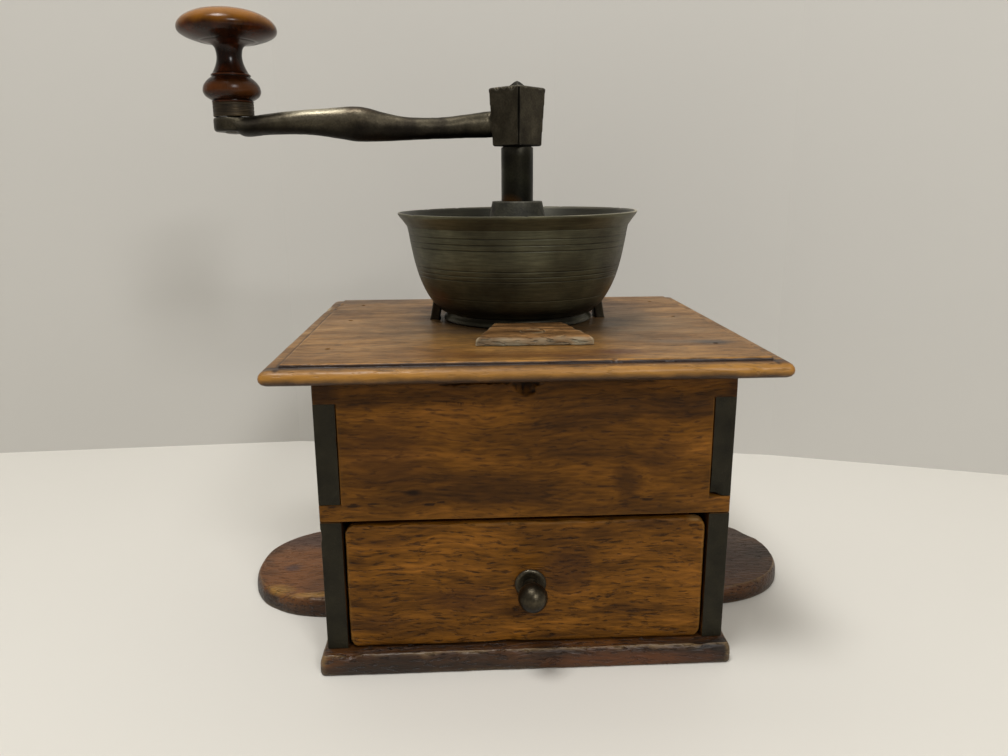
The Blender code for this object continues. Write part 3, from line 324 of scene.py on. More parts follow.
def spotted(tree, place, patch, colour, spots):
    """Ragged spots over a colour, each (centre, half sizes, its colour, strength)."""
    for centre, half, tint, strength in spots:
        scale = [1 / (h * MM) for h in half]
        shift = [-c / h for c, h in zip(centre, half)]
        local = add(tree, "Mapping", {"Vector": place, "Location": shift, "Scale": scale})
        far = add(tree, "VectorMath", {0: local}, 1, operation="LENGTH")
        ragged = add(tree, "Math", {0: patch, 1: 0.9, 2: far}, operation="MULTIPLY_ADD")
        near = spread(tree, ragged, 1.6, 0.9, 0, strength)
        colour = mix(tree, near, colour, tint)
    return colour


def wood(name, light, middle, dark, worn, grain=0, figure=(9, 75), flecks=0.3, blotch=0.4,
         rough=0.42, coat=0.0, shine=0.12, rubs=0.85, wear=(0.06, 0.5),
         relief=0.35, seed=0.0, spots=(), end=None):
    """Old polished wood. Its figure is noise drawn out along the grain, with figure giving waves
    per metre along and across it; fibres and pores are finer noise; arrises are rubbed to the
    worn colour, hollows are darkened, and spots are (centre, half sizes, colour, strength)."""
    made, tree, shader = surface(name)
    place = add(tree, "TexCoord", {}, 3)
    sway = noisy(tree, place, 22, out=1)
    moved = add(tree, "VectorMath", {0: sway, 1: (0.009,) * 3, 2: place}, operation="MULTIPLY_ADD")
    moved = add(tree, "VectorMath", {0: moved, 1: (seed,) * 3})
    layers = []
    for long, short, detail in ((*figure, 7.0), (110, 850, 3.0), (180, 950, 3.0)):
        scale = [long if axis == grain else short for axis in range(3)]
        drawn = add(tree, "Mapping", {"Vector": moved, "Scale": scale})
        layers.append(noisy(tree, drawn, 1, detail))
    figured, fibre, pore = layers
    colour = add(tree, "ValToRGB", {0: figured}, ramp=((0.33, dark), (0.5, middle), (0.68, light)))
    cloud = noisy(tree, moved, 24, 3)
    cloud = spread(tree, cloud, 0.42, 0.68, 0, blotch)
    colour = mix(tree, cloud, colour, dark)
    shade = spread(tree, fibre, 0.3, 0.7, 0.6, 1.32)
    colour = mix(tree, 1.0, colour, shade, "MULTIPLY")
    pore = spread(tree, pore, 0.56, 0.68, 0, flecks)
    colour = mix(tree, pore, colour, "#1c1008")
    bend = add(tree, "Attribute", {}, 2, attribute_name="bend")
    patch = noisy(tree, place, 110, 3)
    rubbed = spread(tree, bend, *wear, -0.42, 0.32)
    rubbed = add(tree, "Math", {0: rubbed, 1: patch})
    rubbed = spread(tree, rubbed, 0.3, 0.7, 0, rubs)
    colour = mix(tree, rubbed, colour, worn)
    # Darker in hollows.
    hollow_dark = spread(tree, bend, -0.03, -0.3, 0, 0.8)
    colour = mix(tree, hollow_dark, colour, "#120b06")
    if end:
        facing = add(tree, "SeparateXYZ", {0: add(tree, "TexCoord", {}, 1)}, grain)
        facing = add(tree, "Math", {0: facing}, operation="ABSOLUTE")
        facing = spread(tree, facing, 0.45, 0.75)
        tone = mix(tree, patch, "#0c0a07", end)
        colour = mix(tree, facing, colour, tone)
    colour = spotted(tree, place, patch, colour, spots)
    height = add(tree, "Math", {0: pore, 1: -1.5, 2: fibre}, operation="MULTIPLY_ADD")
    height = add(tree, "Math", {0: figured, 1: 1.2, 2: height}, operation="MULTIPLY_ADD")
    bump = add(tree, "Bump", {"Strength": relief, "Distance": 0.0004, "Height": height})
    rough_map = spread(tree, figured, 0.3, 0.7, rough + 0.1, rough - 0.06)
    feed(shader, {"Base Color": colour, "Roughness": rough_map, "Normal": bump,
                  "Specular IOR Level": shine, "Coat Weight": coat, "Coat Roughness": 0.25})
    return made


def spaced(points, step):
    """Closed line resampled to equal steps along its length."""
    ring = np.vstack([points, points[:1]])
    run = np.concatenate([[0], np.cumsum(np.linalg.norm(np.diff(ring, axis=0), axis=1))])
    at = np.linspace(0, run[-1], int(run[-1] / step), endpoint=False)
    return np.stack([np.interp(at, run, ring[:, axis]) for axis in range(ring.shape[1])], -1)


def outward(ring):
    """Unit normals of a closed line that runs anticlockwise: its direction turned to the right."""
    way = np.roll(ring, -1, 0) - np.roll(ring, 1, 0)
    return np.stack([way[:, 1], -way[:, 0]], -1) / np.linalg.norm(way, axis=1)[:, None]


def rounded_rectangle(x0, x1, y0, y1, radius, per_side=200, per_corner=12):
    """Rectangle with round corners, anticlockwise, with the same count of points for any size."""
    points = []
    for cx, cy, start in ((x1, y0, -90), (x1, y1, 0), (x0, y1, 90), (x0, y0, 180)):
        turn = np.radians(start + np.linspace(0, 90, per_corner))
        centre = (cx - math.copysign(radius, cx - (x0 + x1) / 2),
                  cy - math.copysign(radius, cy - (y0 + y1) / 2))
        points.append(np.stack([centre[0] + radius * np.cos(turn),
                                centre[1] + radius * np.sin(turn)], -1))
    whole = []
    for here, there in zip(points, points[1:] + points[:1]):
        share = np.linspace(0, 1, per_side + 2)[1:-1, None]
        whole += [here, here[-1] + (there[0] - here[-1]) * share]
    return np.vstack(whole)


base_low, base_high = (np.array(corner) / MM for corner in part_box("base_board"))
plank_left, plank_right, ear_y, ear_half = -88.75, 84.35, -9.05, 41.0
turn = np.linspace(-math.pi / 2, math.pi / 2, 90)
out, along = np.cos(turn) ** 0.9, np.sign(np.sin(turn)) * np.abs(np.sin(turn)) ** 0.9
plank = rounded_rectangle(plank_left, plank_right, -96.8, 64.1, 2.6, 60)
right_ear, left_ear = (
    np.stack([edge_x + (tip - edge_x) * out, ear_y + way * ear_half * along], -1)
    for edge_x, tip, way in ((plank_right, base_high[0], 1), (plank_left, base_low[0], -1))
)
by_ear = abs(plank[:, 1] - ear_y) < ear_half + 0.5
on_right, on_left = (plank[:, 0] > plank_right - 0.3) & by_ear, (plank[:, 0] < plank_left + 0.3) & by_ear
first, last = np.flatnonzero(on_right)[[0, -1]]
start, stop = np.flatnonzero(on_left)[[0, -1]]
outline = spaced(np.vstack([
    plank[:first], right_ear, plank[last + 1:start], left_ear, plank[stop + 1:]
]), 0.9)
sides = outward(outline)
edge = 0.3 + 0.3 * noise(outline, 26, 1) + 0.15 * noise(outline, 7, 2)
rings = []
for inset, height in ((1.0, 0.0), (0.4, 0.35), (0.1, 1.1), (0.0, 2.2), (0.0, 3.6), (0.05, 5.0),
                      (0.25, 6.4), (0.6, 7.6), (1.0, 8.4), (1.4, 8.85), (1.8, 9.0)):
    ring = outline - sides * (inset + np.clip(edge, 0, 0.6) * (0.2 + height / 10))[:, None]
    rings.append(np.column_stack([ring, np.full(len(ring), height)]))
points = np.array(rings)
points[1:-1] += 0.16 * noise(points[1:-1], 3.2, 4)[..., None] * (0.7, 0.7, 0)
points = dinted(points, ((-76, -93, 9), 6, (0, 0.6, -1.5)), ((71, -92, 9), 6, (0, 0.5, -1.4)),
                ((-20, -96, 8), 12, (0, 0.7, -0.5)), ((45, -96, 8), 9, (0, 0.8, -0.4)),
                ((-120, -40, 9), 12, (0.5, 0.6, -0.8)), ((128, 10, 8), 9, (-0.8, 0, -0.5)))
points[..., 2] = np.clip(points[..., 2], 0, 9)
base = piece("base", skin(points))
nails_across, base_nails_along, top_nails_along = (-81.65, 77.25), (-68.46, 35.76), (-72.93, -4.44, 46.19)
cut(base, *(rod(x, y, -2, 12, 1.4) for x in nails_across for y in base_nails_along))
# Walnut planed and waxed: reddish brown, nearly black in its edge's hollows, with a soft shine.
base_walnut = wood(
    "waxed walnut, base", "#5c3716", "#3f250d", "#1b0f05", "#77603f", figure=(12, 70), blotch=0.6,
    flecks=0.7, rough=0.36, shine=0.35, rubs=0.7, wear=(0.03, 0.4), relief=1.3, seed=3.1, spots=(
        # Painted shade along the board's bottom, where its lower rounding faces the table.
        ((0, -16, 1.0), (900, 900, 4.2), "#1c1209", 0.55),
        ((-112, -9, 10), (24, 60, 5), "#7b4a1e", 0.75),
        ((-106, 16, 10), (30, 13, 5), "#43302a", 0.75), ((-119, -38, 9), (9, 5, 3), "#8f6a2e", 0.7),
        ((-116, -16, 9), (5, 4, 3), "#33262c", 0.6), ((-98, -44, 9), (14, 3, 2), "#a57a36", 0.7),
        ((108, -9, 10), (20, 60, 5), "#4b3020", 0.6),
        ((-60, -97, 4), (26, 4, 9), "#1c1209", 0.7), ((40, -97, 3), (45, 4, 4), "#6a3a14", 0.5),
    ),
)
dress(base, "case", "base_wood", base_walnut, "base_board")


# Side boards and back board
# Walnut boards with the grain lying level, joined by fingers at the corners and nailed. The side
# boards' ends show at the front as two dark strips of end grain above and below a finger.


def lines(low, high, step, soft, extra=()):
    """Positions from low to high: close together near both ends and round the extra places."""
    edge = soft * np.array([0, 0.08, 0.25, 0.5, 0.8, 1.2, 2.0])
    even = np.linspace(low + 2.6 * soft, high - 2.6 * soft, int((high - low) / step))
    close = [place + side for place in extra for side in (-0.02, 0.02)]
    return np.unique(np.round(np.concatenate([low + edge, high - edge, even, close]), 3))


def slab(across, up, lay, thick, edges, soft=1.0, hollow=None, walls=4):
    """Board with a fine face. Its grid runs across from the left to the right edge and up from the
    low to the high one; edges gives these four, the first two from the heights and the last two
    from the places across. The face falls away by a quarter circle of radius soft at its margin
    and by hollow, and lay turns (across, up, depth) into x, y, z."""
    left, right, low, high = edges
    a = (across - across[0]) / (across[-1] - across[0])
    b = ((up - up[0]) / (up[-1] - up[0]))[:, None]
    left, right = (np.broadcast_to(e(up) if callable(e) else e, up.shape)[:, None]
                   for e in (left, right))
    low, high = (np.broadcast_to(e(across) if callable(e) else e, across.shape)[None, :]
                 for e in (low, high))
    s, t = left + (right - left) * a, low + (high - low) * b
    margin = np.minimum(np.minimum(s - left, right - s), np.minimum(t - low, high - t))
    near = np.clip(soft - margin, 0, soft)
    depth = soft - np.sqrt(soft ** 2 - near ** 2)
    if hollow:
        depth = depth + hollow(s, t)
    index = np.arange(s.size).reshape(s.shape)
    quads = np.stack([index[:-1, :-1], index[:-1, 1:], index[1:, 1:], index[1:, :-1]], -1)
    rim = np.concatenate([index[0, :-1], index[:-1, -1], index[-1, :0:-1], index[:0:-1, 0]])
    rim_s, rim_t, rim_depth = (values.ravel()[rim] for values in (s, t, depth))
    share = np.linspace(0, 1, walls + 1)[1:, None]
    wall_depth = rim_depth + (thick - rim_depth) * share
    flat = [np.concatenate([whole.ravel(), wall.ravel()]) for whole, wall in (
        (s, np.broadcast_to(rim_s, wall_depth.shape)),
        (t, np.broadcast_to(rim_t, wall_depth.shape)),
        (depth, wall_depth),
    )]
    ladder = np.vstack([rim, s.size + np.arange(wall_depth.size).reshape(wall_depth.shape)])
    beside = np.roll(ladder, -1, axis=1)
    sides = np.stack([ladder[:-1], ladder[1:], beside[1:], beside[:-1]], -1)
    faces = quads.reshape(-1, 4).tolist() + sides.reshape(-1, 4).tolist()
    return np.stack(lay(*flat), -1), faces + [ladder[-1, ::-1].tolist()]


# Old walnut: brown with dark figure on the faces, and nearly black where the end grain drank in
# dirt and oil.
side_walnut = wood(
    "waxed walnut, sides", "#6a441f", "#4c3014", "#241408", "#5e452a", grain=1, end="#312d20",
    figure=(8, 70), blotch=0.5, flecks=0.35, rough=0.48, seed=7.7,
)
case_low, case_high, front_low = 9.3, 126.2, 66.1
case_left, case_right, front_y, back_y = -85.95, 81.55, -90.8, 58.1
front_steps, back_steps, gap = (73.3, 115.8), (31.3, 56.75, 78.75, 104.2), 0.3
finger_up = (front_low - gap, front_steps[0] + gap, front_steps[1] - gap)
side_steps = (31.6, 56.45, 79.05, 103.9)
middle_x, half_width = -2.2, 83.75


def third(up, steps):
    """Whether a height lies in the lowest, the middle or the highest finger of the back's three."""
    return (up < steps[0]) | ((up > steps[1]) & (up < steps[2])) | (up > steps[3])


def side_front(up):
    """The side board's front end stands back where the front board's two fingers pass it."""
    behind = ((up > finger_up[0]) & (up < finger_up[1])) | (up > finger_up[2])
    wavy = 0.15 + 0.12 * noise(np.stack([up, 0 * up], -1), 9, 5)
    return front_y + np.where(behind, 9.1, wavy)


def side_back(up):
    """The same at the back, for three fingers."""
    return back_y - np.where(third(up, side_steps), 9.1, 0.2)


for name, outer, inward, node in (
    ("side_left", case_left, 1, "left_side_board"), ("side_right", case_right, -1, "right_side_board"),
):
    across = lines(front_y, back_y, 2.2, 0.5)
    up = lines(case_low, case_high, 2.2, 0.5, [*finger_up, *side_steps])
    points, faces = slab(
        across, up, lambda s, t, d: (outer + inward * d, s, t), 8.6,
        (side_front, side_back, case_low, case_high), 0.5,
        lambda s, t: uneven(0.06, 30, outer, s, t), 7,
    )
    if inward < 0:
        points = dinted(points, ((74.0, front_y, 74.5), 4.5, (0.4, 1.6, 1.2)),
                        ((73.0, front_y, 84), 2.2, (0.5, 0.9, 0)))
    else:
        points = dinted(points, ((-77.4, front_y, 101), 2.0, (-0.4, 0.8, 0)),
                        ((-85.9, front_y, 60), 2.5, (0.5, 0.5, 0)))
    board = piece(name, (points, faces))
    x = outer + inward * 4.3
    cut(board, *(rod(x, y, 113, 130, 1.4) for y in top_nails_along),
        *(rod(x, y, 5, 20.3, 1.4) for y in base_nails_along))
    dress(board, "case", "dark_end_wood", side_walnut, node)

back_walnut = wood(
    "waxed walnut, back", "#68431d", "#4c2f13", "#261509", "#69502f", figure=(8, 70),
    blotch=0.5, flecks=0.35, rough=0.48, seed=12.3,
)


def back_edge(side):
    """Back board's edge: out to the case's side at its three fingers, in between them."""
    def at(up):
        return middle_x + side * np.where(third(up, back_steps), half_width, half_width - 8.9)
    return at


points, faces = slab(
    lines(case_left, case_right, 2.4, 0.9), lines(case_low, case_high, 2.4, 0.9, back_steps),
    lambda s, t, d: (s, back_y - d, t), 8.8, (back_edge(-1), back_edge(1), case_low, case_high),
    0.9, lambda s, t: uneven(0.12, 34, 9, s, t),
)
dress(piece("back", (points, faces)), "case", "case_wood", back_walnut, "back_board")


# Drawer
# A front of walnut lapped over two nailed sides, with a back and a bottom of plainer wood. The
# face is worn wavy, its corners are round and its arrises are rubbed.

def on_front(x, z, wide, high, colour, strength):
    """Spot on the front, given in the picture's two directions."""
    return (x, front_y, z), (wide, 9, high), colour, strength


# Walnut with short dark flecks along wavy grain, waxed by use and brighter at the right.
drawer_walnut = wood(
    "waxed walnut, drawer", "#85541a", "#6d4410", "#492c0b", "#84612e", figure=(22, 130),
    blotch=0.35, flecks=0.7, rough=0.45, relief=0.8, rubs=0.3, seed=21.9, spots=(
        on_front(-66, 20, 16, 5, "#2d1a0d", 0.5),
        on_front(-60, 57, 12, 3, "#331d0c", 0.45),
        on_front(14, 42, 12, 12, "#301b10", 0.55),
        on_front(-28, 30, 18, 7, "#341c12", 0.4),
        on_front(69, 63.6, 5, 1.4, "#86683c", 0.6),
    ),
)
# Rough inner wood, grey-brown with coffee dust in its pores.
inner_pine = wood(
    "dusty pine", "#8c7052", "#735739", "#4d3821", "#937a5c", grain=1, figure=(7, 55), blotch=0.5,
    flecks=0.25, rough=0.7, seed=5.2,
)
drawer_low, drawer_high, drawer_left, drawer_right = 9.4, 64.2, -76.25, 71.85


def drawer_edge(side):
    """Drawer front's upright edge: straight but for corners of 4 mm radius and small wear."""
    def at(up):
        corner = np.clip(4.0 - np.minimum(up - drawer_low, drawer_high - up), 0, 4.0)
        inset = 4.0 - np.sqrt(16 - corner ** 2) + uneven(0.12, 6, side, up)
        return (drawer_left if side < 0 else drawer_right) - side * inset
    return at


def drawer_face(s, t):
    """Gentle hollows across the grain, with short scrapes along it."""
    waves = uneven(0.22, 17, 6, s, t) + 0.1 * noise(np.stack([s / 3, t], -1), 3.4, 8)
    return waves * np.clip(np.minimum(s - drawer_left, drawer_right - s) / 3, 0, 1)


points, faces = slab(
    lines(drawer_left, drawer_right, 1.1, 1.3), lines(drawer_low, drawer_high, 1.0, 1.3),
    lambda s, t, d: (s, front_y + d, t), 8.8, (
        drawer_edge(-1), drawer_edge(1),
        lambda s: drawer_low + uneven(0.1, 11, 3, s),
        lambda s: drawer_high - uneven(0.25, 9, 4, s),
    ), 1.3, drawer_face,
)
points = dinted(points, ((68, front_y, 63), 7, (0, 1.0, -0.7)), ((-74, front_y, 60), 4, (0, 0.6, 0)),
                ((-10, front_y, 10), 8, (0, 0.6, 0.3)))
drawer_front = piece("drawer_face", (points, faces))
cut(drawer_front, brick((-80, -86.4, 5), (-70.45, -80, 70)),
    brick((66.05, -86.4, 5), (75, -80, 70)), turned([(2.3, 70), (2.3, 100)], 32, (-0.8, 0, 36.8), True))
dress(drawer_front, "drawer", "drawer_wood", drawer_walnut, "drawer_front")
recoat(inner_pine, "drawer_left_side", "drawer_right_side", "drawer_back", "drawer_bottom")

# Drawer knob
# A turned iron knob, its shank riveted over a washer behind the drawer's front, with a thin
# rosette under it.


def metal(name, light, middle, dark, rust, rusty=0.2, bright="#8f8a7c", rough=(0.5, 0.34),
          scale=90.0, relief=0.3, metallic=0.75, shine=0.5, wear=(0.15, 0.9), drawn=(1, 1, 1), underside_shade=0.0,
          inward_shade=0.0, seed=0.0, spots=()):
    """Old handled metal. Cloudy noise mixes three tones of its brown skin, a second noise sets
    patches of rust or oil, arrises are rubbed bright, hollows are darkened, and fine noise, which
    drawn stretches along the way a tool went, pits the surface. Painted shade darkens what faces
    downward and what faces towards the upright axis, each by its own share."""
    made, tree, shader = surface(name)
    place = add(tree, "VectorMath", {0: add(tree, "TexCoord", {}, 3), 1: (seed,) * 3})
    cloud = noisy(tree, place, scale, 5)
    colour = add(tree, "ValToRGB", {0: cloud}, ramp=((0.3, dark), (0.5, middle), (0.7, light)))
    patch = noisy(tree, place, scale / 3, 4)
    patch = spread(tree, patch, 0.5, 0.72, 0, rusty)
    colour = mix(tree, patch, colour, rust)
    bend = add(tree, "Attribute", {}, 2, attribute_name="bend")
    rubbed = spread(tree, bend, *wear, 0, shine)
    rubbed = add(tree, "Math", {0: rubbed, 1: cloud}, operation="MULTIPLY")
    colour = mix(tree, rubbed, colour, bright)
    # Darker in hollows.
    hollow_dark = spread(tree, bend, -0.1, -0.6, 0, 0.7)
    colour = mix(tree, hollow_dark, colour, "#0b0906")
    normal, plain = add(tree, "TexCoord", {}, 1), add(tree, "TexCoord", {}, 3)
    # Painted shade: darker where the surface faces downward.
    shade_below = add(tree, "SeparateXYZ", {0: normal}, 2)
    shade_below = spread(tree, shade_below, 0.15, -0.6, 0, underside_shade)
    # Painted shade: darker where the surface faces towards the upright axis, as inside the bowl.
    inside = add(tree, "VectorMath", {0: plain, 1: (1.0, 1.0, 0.0)}, operation="MULTIPLY")
    inside = add(tree, "VectorMath", {0: inside, 1: normal}, 1, operation="DOT_PRODUCT")
    inside = spread(tree, inside, 0.0, -0.01, 0, inward_shade)
    colour = spotted(tree, plain, cloud, colour, spots)
    # Lays both painted shades over the colour.
    for share in (shade_below, inside):
        colour = mix(tree, share, colour, "#0b0906")
    stroke = add(tree, "Mapping", {"Vector": place, "Scale": drawn})
    pits = noisy(tree, stroke, 1100, 4)
    shade = spread(tree, pits, 0.3, 0.7, 0.75, 1.25)
    colour = mix(tree, 1.0, colour, shade, "MULTIPLY")
    height = add(tree, "Math", {0: cloud, 1: 1.6, 2: pits}, operation="MULTIPLY_ADD")
    bump = add(tree, "Bump", {"Strength": relief, "Distance": 0.0003, "Height": height})
    gloss = spread(tree, cloud, 0.3, 0.7, *rough)
    feed(shader, {"Base Color": colour, "Roughness": gloss, "Metallic": metallic, "Normal": bump})
    return made


def eased(points, rounds=2, loop=False):
    """Line with its corners cut: each span gives points at a quarter and three quarters of it."""
    points = np.array(points, float)
    for _ in range(rounds):
        ahead = np.roll(points, -1, 0) if loop else points[1:]
        here = points if loop else points[:-1]
        cuts = np.stack([0.75 * here + 0.25 * ahead, 0.25 * here + 0.75 * ahead], 1)
        cuts = cuts.reshape(-1, points.shape[1])
        points = cuts if loop else np.vstack([points[:1], cuts, points[-1:]])
    return points


# Forged iron: near black with a brown skin of oil, polished by hands to a dull grey sheen, and painted
# shade on the faces that look downward.
iron = metal("forged iron, oiled", "#4a4335", "#332d22", "#1a160f", "#2f2113", rusty=0.35,
             rough=(0.45, 0.3), metallic=0.9, underside_shade=0.8)
knob_centre = (-0.8, front_y, 36.8)
ball = [(6.0 * math.cos(a), 11.96 + 6.0 * math.sin(a)) for a in np.radians(range(-52, 90, 6))]
knob = eased([(2.0, -9.8), (2.0, 1.9), (3.2, 1.9), (3.3, 3.2), (3.0, 4.6), (3.1, 6.4)], 1)
knob = [(1.8, -11.6), (3.4, -11.0), (3.5, -10.4), (2.0, -10.4), *knob.tolist(), *ball, (0.3, 17.95)]
dress(piece("knob", turned(knob, 72, knob_centre, True)), "drawer", "forged_iron", iron,
      "drawer_knob")
rosette = eased([(2.3, 0.3), (6.3, 0.3), (6.6, 0.5), (6.4, 1.1), (5.6, 1.6), (3.6, 1.5),
                 (2.3, 1.6)], 1, True)
dress(piece("rosette", turned(rosette, 72, knob_centre, True, True)), "drawer", "forged_iron",
      iron, "knob_rosette")
recoat(iron, *(f"drawer_nail_{index}" for index in range(1, 5)),
       *(f"base_nail_{index}" for index in range(1, 5)))

# Front board
# A walnut board above the drawer, with one finger over the side boards' ends at its top and one
# at its bottom. Mice or knocks have chewed a notch in its top edge, and it has split beside it.

# Waxed walnut, warmer to the left, with a knot and wavy curls; the dark band at its top is painted shadow
# from the top board's overhang.
front_walnut = wood(
    "waxed walnut, front", "#81521a", "#68410e", "#42280a", "#6b4718", figure=(14, 85),
    blotch=0.45, flecks=0.55, rough=0.45, rubs=0.4, seed=15.4, spots=(
        # Painted shadow under the top board's overhang.
        on_front(0, 128.5, 300, 7, "#1f1204", 0.85),
        on_front(82, 112, 5, 30, "#2c1a0b", 0.6), on_front(-84, 121, 9, 9, "#2c1a0b", 0.6),
        on_front(-48, 78, 4, 1.6, "#150c05", 0.85),
        on_front(38, 80, 6, 8, "#2c1908", 0.7),
        on_front(-58, 95, 22, 14, "#3c2310", 0.4),
        on_front(52, 92, 12, 9, "#311c0b", 0.4),
        # Painted shade in the chewed notch.
        ((-2.6, -88, 123), (5.5, 9, 3.6), "#120a05", 0.8),
    ),
)


def front_edge(side):
    """Front board's edge: out over the side boards at its two fingers, in between them."""
    def at(up):
        finger = (up < front_steps[0]) | (up > front_steps[1])
        corner = np.clip(up - 123.4, 0, 2.7)
        out = half_width - uneven(0.06, 7, side + 3, up) - 2.8 + np.sqrt(2.8 ** 2 - corner ** 2)
        return middle_x + side * np.where(finger, out, half_width - 8.9)
    return at


def front_top(across):
    """Top edge, lower where it is chewed."""
    chewed = 2.2 * np.clip(1 - abs(across + 2.5) / 5.0, 0, 1) ** 0.5
    split = 1.1 * np.clip(1 - abs(across + 20) / 16, 0, 1)
    return case_high - chewed - split - uneven(0.35, 5, 7, across)


def front_face(s, t):
    """Planed face with a hollow under the notch and a split along the grain beside it."""
    ragged = 1.1 * noise(np.stack([s, t], -1), 1.7, 3)
    wide = np.clip(1 - np.hypot((s + 2.6 + ragged) / 5.2, (t - 123.4) / 6.2), 0, 1)
    split = np.clip(1 - np.hypot((s + 22) / 15, (t - 123.0 - 0.5 * ragged) / 0.9), 0, 1)
    return uneven(0.15, 22, 2, s, t) + 2.6 * wide ** 0.8 + 1.2 * split ** 0.7


points, faces = slab(
    np.unique(np.concatenate([lines(case_left, case_right, 1.3, 0.8), np.arange(-40, 10, 0.5)])),
    np.unique(np.concatenate([lines(front_low, case_high, 1.3, 0.8, front_steps),
                              np.arange(115.9, 126, 0.4)])),
    lambda s, t, d: (s, front_y + d, t), 8.8,
    (front_edge(-1), front_edge(1), lambda s: front_low + uneven(0.12, 9, 1, s), front_top), 0.5,
    front_face,
)
dress(piece("front", (points, faces)), "case", "case_wood", front_walnut, "front_board")

# Top board
# A wide board with a raised field, a step and a rounded nose worked round all four edges. It is
# nailed down on the side boards, bored for the burr ring and slotted for the bowl's straps.

def on_top(x, y, wide, deep, colour, strength, tall=4):
    """Spot on the top board's raised field."""
    return (x, y, top_high), (wide, deep, tall), colour, strength


x0, x1, y0, y1, top_high, step_high = -102.2, 97.8, -107.45, 74.75, 133.8, 132.8
# Walnut bleached by wear and washing, greyer on the flat and golden on the rubbed nose.
top_walnut = wood(
    "rubbed walnut, top", "#946b35", "#825b29", "#5c3d1c", "#a8752f", figure=(26, 90), blotch=0.5,
    flecks=0.55, coat=0.05, shine=0.3, rubs=0.75, wear=(0.04, 0.5), relief=0.5,
    seed=30.2, spots=(
        ((0, -108, 130.4), (900, 2.8, 3.2), "#a37228", 0.55),
        ((-102.4, -16, 129.6), (3.0, 500, 4.0), "#7d5424", 0.5),
        ((98, -16, 129.6), (3.0, 500, 4.0), "#6b4620", 0.5),
        # Painted shade on the nose's lower half, where it faces the table.
        ((0, -107.3, 126.3), (900, 6, 3.2), "#241204", 0.9),
        ((-60, -102.6, 132.2), (75, 2.4, 0.9), "#453628", 0.85),
        ((50, -102.6, 132.2), (95, 2.2, 0.9), "#4a2d10", 0.8),
        ((0, -100.8, step_high), (900, 1.3, 0.9), "#1f0e03", 0.95),
        ((-95.6, -16, step_high), (1.3, 900, 0.9), "#2a170a", 0.9),
        ((91.2, -16, step_high), (1.3, 900, 0.9), "#2a170a", 0.9),
        ((0, 68.1, step_high), (900, 1.3, 0.9), "#2a170a", 0.9),
        on_top(0, -88, 58, 8, "#4d2c10", 0.5),
        on_top(77, -70, 9, 5, "#2c2a2a", 0.75),
        on_top(66, -68, 20, 5, "#54483c", 0.5), on_top(60, -20, 26, 30, "#8a7355", 0.3),
        on_top(-78.7, -65, 2.2, 1.2, "#241a12", 0.8, 3),
        on_top(-81.4, -80.8, 4.5, 1.0, "#3a3028", 0.6, 3),
        on_top(79.2, -3.9, 2.2, 1.2, "#221812", 0.8, 3),
        on_top(34, -86, 11, 5, "#4a2510", 0.55),
        on_top(-16, -92, 24, 4, "#43260f", 0.45),
        on_top(0, -30, 74, 50, "#4d3d25", 0.6),
        on_top(0, -20, 50, 36, "#241a10", 0.7),
        on_top(-78, 60, 40, 12, "#4a3a2c", 0.5),
        ((-101, 44, 132), (2.4, 9, 3), "#c7b08a", 0.8),
    ),
)
nose = ((14.0, 126.5), (3.4, 126.5), (1.9, 126.75), (0.8, 127.4), (0.15, 128.4), (0.0, 129.6),
        (0.25, 130.7), (0.9, 131.6), (1.9, 132.25), (3.0, 132.5), (4.4, 132.5), (5.8, 132.45),
        (6.5, 132.3), (6.75, 132.5), (6.85, 133.1), (7.1, 133.55), (7.6, 133.78), (8.4, top_high),
        (9.6, top_high))
rings = np.array([
    np.column_stack([
        rounded_rectangle(x0 + i, x1 - i, y0 + i, y1 - i, max(2.4 - i * 0.3, 0.4), 240), np.full(1008, h)
    ])
    for i, h in nose
])
sides = np.column_stack([outward(rings[5, :, :2]), np.zeros(1008)])
lean = np.clip(noise(rings, 21, 3) * 0.6, 0, 1) + 0.2 * (1 + noise(rings, 4.5, 5))
lean[-2:] *= 0.3
points = rings - sides * (lean * 0.25)[..., None]
points = dinted(
    points, ((-102, 40, 131), 7, (1.3, 0, 0)), ((-102, 56, 131), 6, (1.0, 0, -0.3)),
    ((-95.4, 48, top_high), 5, (0, 0, -0.8)), ((-95.4, 34, top_high), 4, (0, 0, -0.7)),
    ((30.2, -100.5, top_high), 1.6, (0, 0.4, -0.6)), ((51, -101, top_high), 1.4, (0, 0.4, -0.5)),
    ((83, -107.4, 130), 1.8, (0, 0.7, 0)), ((30, 74.7, 131), 9, (0, -0.9, 0)),
)
top = piece("top", skin(points))
peg_place = (2.4, -59.6)
top_nails = list(itertools.product(nails_across, top_nails_along))
cut(top, *(rod(x, y, 120, 140, 1.13) for x, y in top_nails), rod(0, 0, 120, 140, 24.8, 96),
    brick((-43.25, -4.8, 120), (-37.95, 4.8, 140)), brick((37.95, -4.8, 120), (43.25, 4.8, 140)),
    rod(*peg_place, 130, 140, 5.3, 48))
dress(top, "case", "top_wood", top_walnut, "top_board")
# Nail iron, rusted to the brown of the wax over it.
nail_iron = metal("rusted nail iron", "#5c4630", "#46331f", "#2c1f13", "#5a3a1c", rusty=0.4,
                  metallic=0.2, rough=(0.6, 0.45), scale=300.0)
for index, (x, y) in enumerate(top_nails, 1):
    head = [(0.5, 113.8), (1.1, 114.6), (1.1, 132.6), (1.0, 133.2), (0.4, 133.4)]
    dress(piece(f"case_nail_{index}", turned(head, 24, (x, y, 0))), "case", "forged_iron",
          nail_iron, f"top_nail_{index}")

# Wooden block
# A thin wedge of wood let in before the bowl and held by one peg, worn as smooth as the board
# under it and grey along its front.

